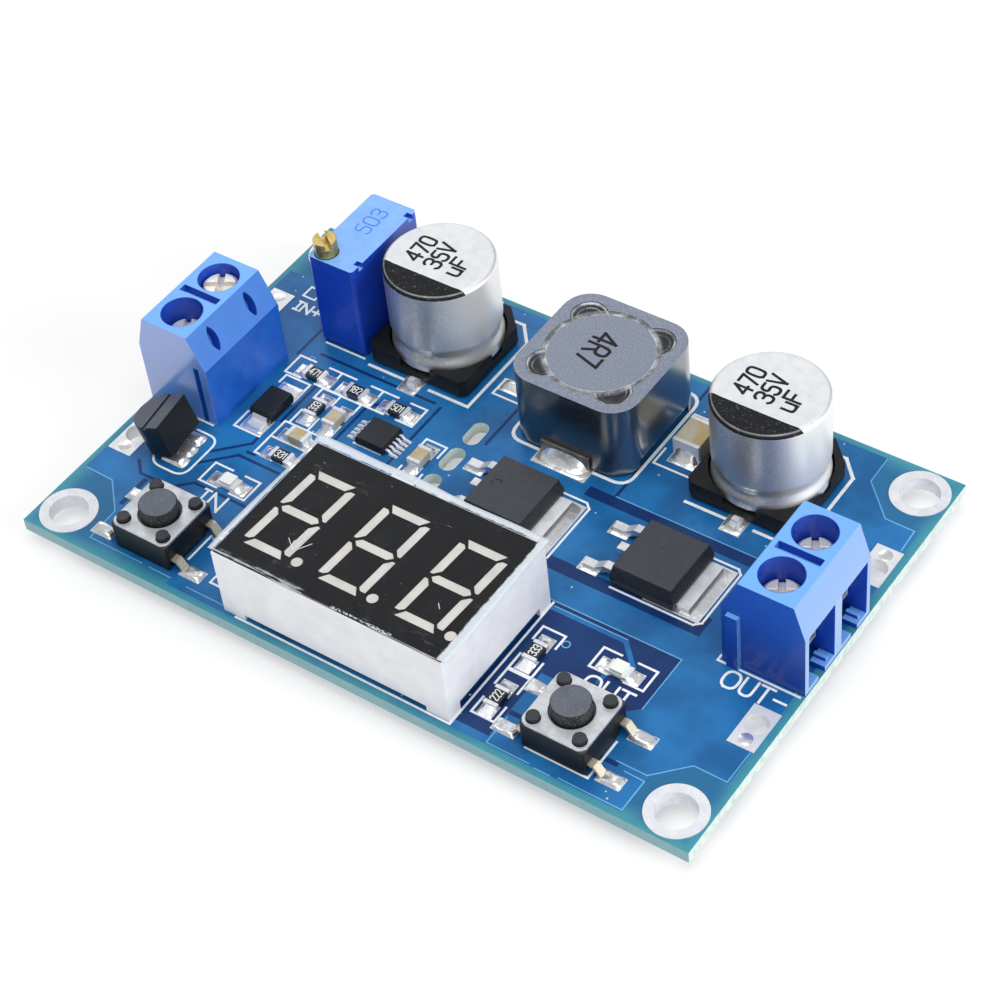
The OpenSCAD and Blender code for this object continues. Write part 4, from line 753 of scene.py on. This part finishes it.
def wording(text, centre, tall, turn, wide, gap=0.2):
    # letter strokes set in a row, scaled to tall and wide, turned about their middle by degrees
    lines, pen = [], 0.0
    for ch in text:
        width, parts = glyphs[ch]
        lines += [eased(part) + [pen, 0] for part in parts]
        pen += width + gap
    long = pen - gap
    stretch = wide / long
    c, sn = math.cos(math.radians(turn)), math.sin(math.radians(turn))
    rot = np.array([[c, sn], [-sn, c]])
    return [((part - [long / 2, 0.5]) * [stretch, tall]) @ rot + centre for part in lines]


def layered(name, base, shade, rough, coat=0.1, patch=0.2):
    # mask over copper: broad clouds, fine dust, small pits
    f = Finish(name, Coat_Weight=coat, Coat_Roughness=0.12, Specular_IOR_Level=0.3)
    clouds = f.noise(patch, 3.0)
    dust = 1.0 - f.cells(0.5).rise(0.03, 0.06)
    colour = f.mix(clouds.rise(0.3, 0.72), tint(base), tint(shade))
    colour = f.mix(dust * 0.7, colour, tint("d5e6f2"))
    return f.feed(Base_Color=colour, Roughness=rough + (f.noise(1.0, 1.0) - 0.5) * 0.14,
                  Normal=f.bump(f.noise(0.4, 0.0), 0.1, 2e-5)).mat


maskOn = layered("mask_on_copper", "145890", "2373b2", 0.3)
maskGap = layered("mask_on_glass", "07285f", "0a356c", 0.32)
# painted highlights along the copper steps, also used for the via rings
maskGlintAndVia = layered("mask_glints_and_vias", "5a9fcd", "74b2d9", 0.25)
inkWhite = layered("white_ink", "eef1f3", "dfe5e9", 0.55, 0.0, 1.5)
words = [line for text, centre, tall, wide in inkArt["words"] for line in wording(text, centre, tall, 0, wide)]
arc = np.linspace(0, 2 * math.pi, 25)
circles = [np.stack([x + r * np.cos(arc), y + r * np.sin(arc)], -1) for x, y, r in vias]
bent = {kind: [rounded(line, reach) for line in inkArt[kind]] for kind, reach in bend.items()}
art = [[pourArt["outline"]],
       pourArt["gaps"] + runs(pourArt["gapLines"], lineWidth["gap"]),
       pourArt["islets"] + runs(pourArt["traces"], lineWidth["trace"]),
       runs(pourArt["glints"], lineWidth["glint"]) + runs(circles, lineWidth["via"]),
       runs(inkArt["fine"] + bent["lobe"], lineWidth["fine"]) + runs(inkArt["broad"], lineWidth["broad"])
       + runs(bent["coil"], lineWidth["broad"]) + runs(words, lineWidth["words"])]
artLow = 0.001
# the fourth layer holds painted highlights along the copper steps and the via rings
layers = [("copper_pour", maskOn, 0.012), ("copper_gaps", maskGap, 0.012), ("copper_traces", maskOn, 0.016),
          ("copper_glints_and_vias", maskGlintAndVia, 0.018), ("board_print", inkWhite, 0.035)]  # piece, finish, height
tops, rims = topOf("circuit_board")
verts, tri, owner = parted(art, onTop(tops), rims)
for which, (name, finish, high) in enumerate(layers):
    addPiece(name, *sheet(verts, tri[owner == which], artLow, high), finish, slot="board", close=False)
print("board artwork laid")


def pillows(boxes, rise, seed, n=11):
    # low domes over rectangles: z = top + rise * ((1 - u^6)(1 - v^6))^0.8 * (1 + soft ripples), rim sunk a little
    boxes = np.asarray(boxes, float)
    rng = np.random.default_rng(seed)
    u = np.linspace(-1, 1, n)
    gu, gv = np.meshgrid(u, u, indexing="ij")
    mid, half = ((boxes[:, 0] + boxes[:, 1]) / 2)[..., None, None], ((boxes[:, 1] - boxes[:, 0]) / 2)[..., None, None]
    wave = rng.uniform(-3, 3, (len(boxes), 4, 1, 1))
    ripple = 0.22 * np.sin(2.1 * gu + wave[:, 0]) * np.cos(1.7 * gv + wave[:, 1]) \
        + 0.12 * np.sin(4 * gu * gv + wave[:, 2])
    dome = np.clip((1 - gu ** 6) * (1 - gv ** 6), 0, 1) ** 0.8
    lift = np.asarray(rise, float).reshape(-1, 1, 1)
    z = boxes[:, 1, 2][:, None, None] + lift * dome * (1 + ripple) - 0.02 * (dome == 0)
    soft = 1 - 0.08 * (np.abs(gu * gv) ** 4)
    x, y = mid[:, 0] + half[:, 0] * gu * soft, mid[:, 1] + half[:, 1] * gv * soft
    verts = np.stack([x, y, z], -1).reshape(-1, 3)
    faces = (gridFaces(n, n, False)[None] + (np.arange(len(boxes)) * n * n)[:, None, None]).reshape(-1, 4)
    return onBoard(verts), faces


def fillets(caps, pads, n=9):
    # solder climbing a chip end: z = pad + rise * t^1.7 * (1 - v^4), t from the pad's rim to the chip
    verts, faces = [], []
    t, v = np.meshgrid(np.linspace(0, 1, n), np.linspace(-1, 1, n), indexing="ij")
    for i, cap in enumerate(caps):
        c = cap.mean(0)
        inside = [p for p in pads if (p[0, :2] - 0.05 < c[:2]).all() and (c[:2] < p[1, :2] + 0.05).all()]
        if not inside:
            continue
        pad = inside[0]
        m = pad.mean(0)
        axis = int(abs(m[1] - c[1]) > abs(m[0] - c[0]))
        side = np.sign(m[axis] - c[axis])
        start = pad[1, axis] if side > 0 else pad[0, axis]
        stop = cap[1, axis] if side > 0 else cap[0, axis]
        rim, wall = start - side * 0.12, stop - side * 0.02
        rise = 0.62 * (cap[1, 2] - pad[1, 2]) * (1 + 0.18 * math.sin(3.7 * i))
        half = (cap[1, 1 - axis] - cap[0, 1 - axis]) / 2 * (1.02 + 0.06 * math.cos(2.3 * i))
        along = rim + (wall - rim) * t
        across = c[1 - axis] + half * v * (1 - 0.1 * (1 - t))
        z = pad[1, 2] - 0.01 + (0.05 + rise * t ** 1.7) * (1 - v ** 4) * np.minimum(1, 6 * t)
        flat = (along, across) if axis == 0 else (across, along)
        faces.append(gridFaces(n, n, False) + len(verts) * n * n)
        verts.append(np.stack([*flat, z], -1).reshape(-1, 3))
    return onBoard(np.concatenate(verts)), np.concatenate(faces)


# solder heights in mm: broad lands from broadSpan up, blobs near the regulator, covers over the switches' feet
solderShape = dict(least=0.5, broadSpan=4.5, broad=0.1, small=0.08, blob=0.3, cover=0.32,
                   regulator=(6.6, 13.4), near=2.6, seed=5)
k = solderShape
pads = islands("solder_pads")
wide = pads[((pads[:, 1] - pads[:, 0])[:, :2] > k["least"]).all(1)]
lift = np.where((wide[:, 1] - wide[:, 0])[:, :2].max(1) > k["broadSpan"], k["broad"], k["small"])
lift[(np.abs(wide.mean(1)[:, :2] - k["regulator"]) < k["near"]).all(1)] = k["blob"]
feet = islands("switch_leads")
over = ((wide[:, None, 0, :2] < feet[None, :, 1, :2]) & (wide[:, None, 1, :2] > feet[None, :, 0, :2])).all(2).any(1)
lift[over] = k["cover"]
addPiece("pad_solder", *pillows(wide, lift, k["seed"]), finishes["solder"], slot="solder", smooth=50, close=False)
caps = np.concatenate([islands("chip_end_caps"), islands("inductor_terminals")])
addPiece("chip_fillets", *fillets(caps, pads), finishes["solder"], slot="solder", smooth=60, close=False)

# square ends of the capacitors' front leads: sides from the lead's corner, bottom and top
leadEnd = dict(left=0.1, right=0.7, front=0.08, back=0.55, low=0.2, high=0.72, rowEnd=32)
k = leadEnd
square = [(k["left"], k["front"]), (k["right"], k["front"]), (k["right"], k["back"]), (k["left"], k["back"])]
blocks = [lead[0, :2] + square for lead in islands("capacitor_leads") if lead[0, 1] < k["rowEnd"]]
addPiece("capacitor_lead_ends", *inked(blocks, k["low"], k["high"]), finishes["mounting_hole_rings"], slot="tin",
         close=False)

# filled holes beside the wire holes: z = land + rise * (1 - (r / radius)^2)
plugShape = dict(radius=0.63, rise=0.06, sunk=0.005,
                 places=[(1.85, 11.15), (1.85, 32.85), (64.15, 11.15), (64.15, 32.85)])
k = plugShape
out = np.linspace(0, 1, 9)
profile = np.c_[out * k["radius"], middle("wire_pads")[3] - k["sunk"] + k["rise"] * (1 - out ** 2)][::-1]
addPiece("pad_plugs", *joined([lathe(profile, place, 40) for place in k["places"]]), finishes["solder"],
         slot="solder", smooth=60)
print("solder on", len(wide), "lands")

# drawn cans: profile in mm from the board, turned on the lathe; marks are text, offset from the axis, tall, wide
canShape = dict(radius=5.0, rim=0.5, bead=0.45, groove=2.95, pinch=0.34, reach=1.15,
                marks=[("470", -2.2, 0.35, 1.55, 3.0), ("35V", -0.15, 0.4, 1.55, 3.1), ("uF", 1.9, -0.1, 1.55, 2.0)],
                stroke=0.25, markLow=-0.06, markHigh=-0.035)


def canProfile(k, seat, top):
    # bead, pinched groove (cosine dip), straight wall, quarter-round rim, slightly dished lid
    bead = np.linspace(-math.pi / 2, 0, 9)
    dip = np.linspace(-1, 1, 17)
    rim = np.linspace(0, math.pi / 2, 11)
    parts = [np.c_[[0.0], [seat]],
             np.c_[k["radius"] - k["bead"] + k["bead"] * np.cos(bead), seat + k["bead"] + k["bead"] * np.sin(bead)],
             np.c_[k["radius"] - k["pinch"] * (0.5 + 0.5 * np.cos(math.pi * dip)) ** 1.3,
                   k["groove"] + k["reach"] * dip],
             np.c_[k["radius"] - k["rim"] + k["rim"] * np.cos(rim), top - k["rim"] + k["rim"] * np.sin(rim)],
             np.c_[[k["radius"] - 0.75, k["radius"] - 1.0, 0.0], [top - 0.02, top - 0.05, top - 0.05]]]
    return np.concatenate(parts)


for node in cans:
    k = canShape
    cx, cy, low, high = middle(node)
    addPiece(node + "_turned", *lathe(canProfile(k, low, high), (cx, cy), 128), finishes[node], smooth=35,
             hides=(node,))
    marks = [line for text, dx, dy, tall, wide in k["marks"]
             for line in wording(text, (cx + dx, cy + dy), tall, 90, wide)]
    addPiece(node + "_print", *inked(runs(marks, k["stroke"]), high + k["markLow"], high + k["markHigh"]), blackInk,
             slot="black_plastic", close=False)

# flat prints: text, offset from the node's middle, tall, turn, wide, stroke, bottom and top from its highest level
coilMark = dict(text="4R7", dx=-0.5, dy=0.2, tall=2.2, turn=-90, wide=3.9, stroke=0.28, low=-0.01, high=0.015)
trimmerMark = dict(text="503", dx=-0.2, dy=1.6, tall=1.5, turn=90, wide=3.2, stroke=0.12, low=-0.01, high=0.012)


def flatMark(node, k):
    # strokes of a word raised off a node's top
    cx, cy, _, high = middle(node)
    lines = wording(k["text"], (cx + k["dx"], cy + k["dy"]), k["tall"], k["turn"], k["wide"])
    return inked(runs(lines, k["stroke"]), high + k["low"], high + k["high"])


addPiece("inductor_print", *flatMark("inductor_core", coilMark), blackInk, slot="ferrite", close=False)

# clear resin in the inductor's ring gap and corner pits; bands are radius, width, strength; the pit bands are painted
# highlights
glueShape = dict(gap=4.87, reach=0.36, bead=0.12, ringSunk=0.1, pit=1.63, place=3.37, sink=0.4, pitSunk=0.03,
                 lidRadius=4.7, dip=0.2, ringBands=[(4.82, 0.34, 0.34), (4.68, 0.08, 0.3)],
                 pitHighlightBands=[(1.5, 0.14, 0.5), (1.1, 0.07, 0.25)])


def glueFinish(name, x0, y0, place, bands):
    # clear resin, whitish along bands round a centre, or round four corners at place from it; round the corners the
    # bands are painted highlights
    f = Finish(name, Roughness=0.06, Coat_Weight=0.8, Coat_Roughness=0.03)
    x, y, _ = f.xyz()
    dx, dy = x - x0, y - y0
    if place:
        dx, dy = dx.size() - place, dy.size() - place
    radius = f.radius(dx, dy)
    milk = f.noise(2.2, 3.0)
    patch = f.noise(0.8, 3.0).rise(0.35, 0.7)
    alpha = 0.05 + milk.rise(0.5, 0.75) * 0.05
    for at, width, strength in bands:
        alpha = alpha + (1.0 - ((radius - at).size() / width).rise(0.3, 1.0)) * strength * (0.25 + patch)
    return f.feed(Base_Color=f.mix(milk, tint("f2f4f6"), tint("d5dae0")), Alpha=alpha.atMost(1.0)).mat


k, top = glueShape, middle("inductor_shield")[3]
cx, cy = middle("inductor_core")[:2]
x0, y0 = cx - halfLong, cy - halfWide
t = np.linspace(-1, 1, 15)
ring = np.c_[k["gap"] + k["reach"] * t, top - k["ringSunk"] + k["bead"] * (1 - t ** 2)]
addPiece("inductor_glue", *lathe(ring, (cx, cy), 144), glueFinish("ring_resin", x0, y0, 0.0, k["ringBands"]),
         slot="clear_film", smooth=60, close=False)
t = np.linspace(0, 1, 12)
bowl = np.c_[k["pit"] * t, top - k["pitSunk"] - k["sink"] * (1 - t ** 2)]
verts, faces = joined([lathe(bowl, (cx + i * k["place"], cy + j * k["place"]), 48) for i in (-1, 1) for j in (-1, 1)])
far = np.linalg.norm(verts[:, :2] - onBoard([(cx, cy, 0)])[0, :2], axis=1)
verts[:, 2] -= np.where(far < k["lidRadius"] * 1e-3, k["dip"] * 1e-3, 0)  # dips under the core's lid
addPiece("inductor_pit_glue", verts, faces, glueFinish("pit_resin", x0, y0, k["place"], k["pitHighlightBands"]),
         slot="clear_film", smooth=60)
addPiece("trimmer_print", *flatMark("trimmer_housing", trimmerMark),
         layered("pad_ink", "3f6fdc", "4678e4", 0.5, 0.0, 1.0), slot="trimmer_blue", close=False)

# value codes on the chip resistors, from the back row to the front, left to right
codeShape = dict(texts=["471", "182", "501", "333", "331", "333", "222"], tall=0.72, wide=1.0, stroke=0.085,
                 low=-0.005, high=0.01)
k = codeShape
chips = islands("chip_resistors")
chips = chips[np.lexsort((chips[:, 0, 0], -np.round(chips[:, 0, 1])))]
marks = []
for chip, text in zip(chips, k["texts"]):
    span = chip[1] - chip[0]
    marks += wording(text, chip.mean(0)[:2], k["tall"], 0 if span[0] > span[1] else 90, k["wide"])
level = chips[0, 1, 2]
addPiece("resistor_codes", *inked(runs(marks, k["stroke"]), level + k["low"], level + k["high"]), inkWhite,
         slot="resistor_glaze", close=False)
print("cans turned and codes printed")

# loose protective film over the display: sheet in board mm, worn places in frame mm
filmShape = dict(left=21.0, right=44.1, front=0.98, back=15.55, above=0.035, lift=0.12, thick=0.03)
filmWear = dict(left=-11.6, right=10.3, back=-6.65, rim=-20.5, tear=-20.25, tearFrom=0.2, tearTo=6.0,
                fold=-19.9, foldTo=-2.6)


def filmFinish(name, k):
    # clear film: whitish where it stands free of the face, scratches and dust on top
    f = Finish(name, Roughness=0.16, Specular_IOR_Level=0.3)
    x, y, _ = f.xyz()
    haze = f.noise(1.4, 4.0, 0.6)
    ragged = (f.noise(1.6, 3.0) - 0.5) * 0.35
    over = (x - k["right"]).atLeast(y - k["back"]).atLeast(k["left"] - x) + ragged
    torn = (k["tear"] - y + ragged * 0.8).rise(-0.05, 0.1) * (x > k["tearFrom"]) * (x < k["tearTo"]) \
        * f.noise(5.0, 2.0).rise(0.45, 0.55)
    fold = (k["fold"] - y + ragged * 1.5).rise(0.0, 0.5) * (x < k["foldTo"]) \
        * f.noise(1.2, 3.0, 0.5, f.stretch(0.5, 3.0, 1)).rise(0.4, 0.6)
    rim = (k["rim"] - y).rise(-0.05, 0.1)
    free = over.rise(-0.05, 0.15).atLeast(torn).atLeast(fold * 0.6).atLeast(rim)
    scratch = 1.0 - (f.noise(1.2, 2.0, 0.5, f.stretch(0.25, 1.6, 1)) - 0.5).size().rise(0.0, 0.006)
    dust = f.noise(4.5, 2.0, 0.5).rise(0.76, 0.79)
    alpha = 0.004 + free * (0.5 + haze * 0.4) + scratch * 0.16 * f.noise(0.5).rise(0.55, 0.7) + dust * 0.5
    colour = f.mix(haze, tint("e8eef3"), tint("d3dde6"))
    return f.feed(Base_Color=colour, Alpha=alpha.atMost(1.0)).mat


def filmSheet(k, face, n=41, m=61):
    # z = face + above + lift * edge^14 * waves; outline pulled in and out by slow sines
    v, u = np.meshgrid(np.linspace(0, 1, n), np.linspace(0, 1, m), indexing="ij")
    left = k["left"] - 0.12 * np.sin(5 * v + 0.6) - 0.25 * np.clip(v - 0.93, 0, 1) / 0.07
    right = k["right"] + 0.14 * np.sin(4 * v + 1.0)
    front = k["front"] + 0.06 * np.sin(13 * u) + 0.04 * np.sin(31 * u + 1)
    back = k["back"] + 0.12 * np.sin(4.2 * u + 1.2) + 0.05 * np.sin(17 * u)
    x, y = left + (right - left) * u, front + (back - front) * v
    edge = np.maximum(np.abs(2 * u - 1), np.abs(2 * v - 1)) ** 14
    z = face + k["above"] + k["lift"] * edge * (0.6 + 0.4 * np.sin(9 * u + 4 * v))
    return onBoard(np.stack([x, y, z], -1).reshape(-1, 3)), gridFaces(n, m, False)


film = addPiece("display_film_loose", *filmSheet(filmShape, middle("display_face")[3]),
                filmFinish("clear_loose_film", filmWear), slot="clear_film", smooth=60, hides=("display_film",),
                close=False)
body = film.modifiers.new("thickness", "SOLIDIFY")
body.thickness, body.offset = filmShape["thick"] * 1e-3, 0.0

# nicks in the film, in board mm; bottom and top from the housing's highest level
nickShape = dict(width=0.05, low=0.155, high=0.165, lines=[
    [(25.92, 5.15), (26.99, 4.3), (27.08, 5.73)], [(27.21, 4.43), (27.92, 5.58)], [(26.6, 4.6), (26.5, 5.2)],
    [(30.29, 3.55), (30.5, 4.4)], [(40.2, 5.66), (40.6, 5.24)]])
k, level = nickShape, middle("display_housing")[3]
addPiece("film_scratches", *inked(runs(k["lines"], k["width"]), level + k["low"], level + k["high"]), inkWhite,
         slot="clear_film", close=False)
print("film laid")

# camera fitted to the photograph: lens in mm, place in metres, its own axes
view = dict(lens=92.708, sensor=36.0, near=0.01, far=10.0,
            eye=(0.0954216419, -0.1129085906, 0.1563436524),
            right=(0.8187148271, 0.5680871531, -0.0835644567),
            up=(-0.3668220448, 0.6294227196, 0.6850318442),
            back=(0.4417551578, -0.530192443, 0.7237046041))
cam = bpy.data.cameras.new("photo_camera")
cam.lens, cam.sensor_width, cam.sensor_fit = view["lens"], view["sensor"], "HORIZONTAL"
cam.clip_start, cam.clip_end = view["near"], view["far"]
camObj = bpy.data.objects.new("photo_camera", cam)
turn = Matrix((view["right"], view["up"], view["back"])).transposed().to_4x4()
camObj.matrix_world = Matrix.Translation(view["eye"]) @ turn
bpy.context.scene.collection.objects.link(camObj)
bpy.context.scene.camera = camObj

# plain studio light; lamps aim at the origin: place, disc size in metres, power in watts
skyStrength = 0.42
lamps = dict(overhead=((0.02, -0.06, 0.5), 0.5, 1.6), front_fill=((0.3, -0.45, 0.3), 0.4, 0.42),
             back_panel=((-0.5, 0.5, 0.35), 0.6, 0.7), right_panel=((0.6, 0.08, 0.26), 0.4, 2.3))
world = bpy.data.worlds.new("studio")
bpy.context.scene.world = world
world.use_nodes = True
sky = world.node_tree.nodes["Background"]
sky.inputs[0].default_value, sky.inputs[1].default_value = (1, 1, 1, 1), skyStrength
for name, (place, size, power) in lamps.items():
    data = bpy.data.lights.new(name, "AREA")
    data.shape, data.size, data.energy = "DISK", size, power
    obj = bpy.data.objects.new(name, data)
    obj.matrix_world = Matrix.Translation(place) @ Vector(place).to_track_quat("Z", "Y").to_matrix().to_4x4()
    bpy.context.scene.collection.objects.link(obj)

# pale floor under the lowest solder
floorShape = dict(half=2.0, glow=0.5)
half, low = floorShape["half"], cadBox[0][2]
floorMesh = bpy.data.meshes.new("floor")
floorMesh.from_pydata([(-half, -half, low), (half, -half, low), (half, half, low), (-half, half, low)], [],
                      [(0, 1, 2, 3)])
floorObj = bpy.data.objects.new("floor", floorMesh)
bpy.context.scene.collection.objects.link(floorObj)
f = Finish("pale_floor", Roughness=0.9)
f.feed(Base_Color=f.mix(f.noise(0.02, 2.0), (0.93, 0.93, 0.93, 1), (0.95, 0.95, 0.95, 1)))
# camera, glossy and transmitted rays see the floor half lit by itself, so it stays pale and keeps the shadow
seen = sum(f.node("ShaderNodeLightPath", out=ray) for ray in ("Is Camera Ray", "Is Glossy Ray", "Is Transmission Ray"))
paper = f.node("ShaderNodeEmission", None, {0: (1, 1, 1, 1), 1: 1.0})
both = f.node("ShaderNodeMixShader", None,
              {0: seen.atMost(1.0) * floorShape["glow"], 1: Sock(f, f.bsdf.outputs[0]), 2: paper})
f.tree.links.new(both.out, f.tree.nodes["Material Output"].inputs[0])
floorMesh.materials.append(f.mat)
bpy.context.scene.view_settings.view_transform = "Standard"
print("camera, floor and light set")
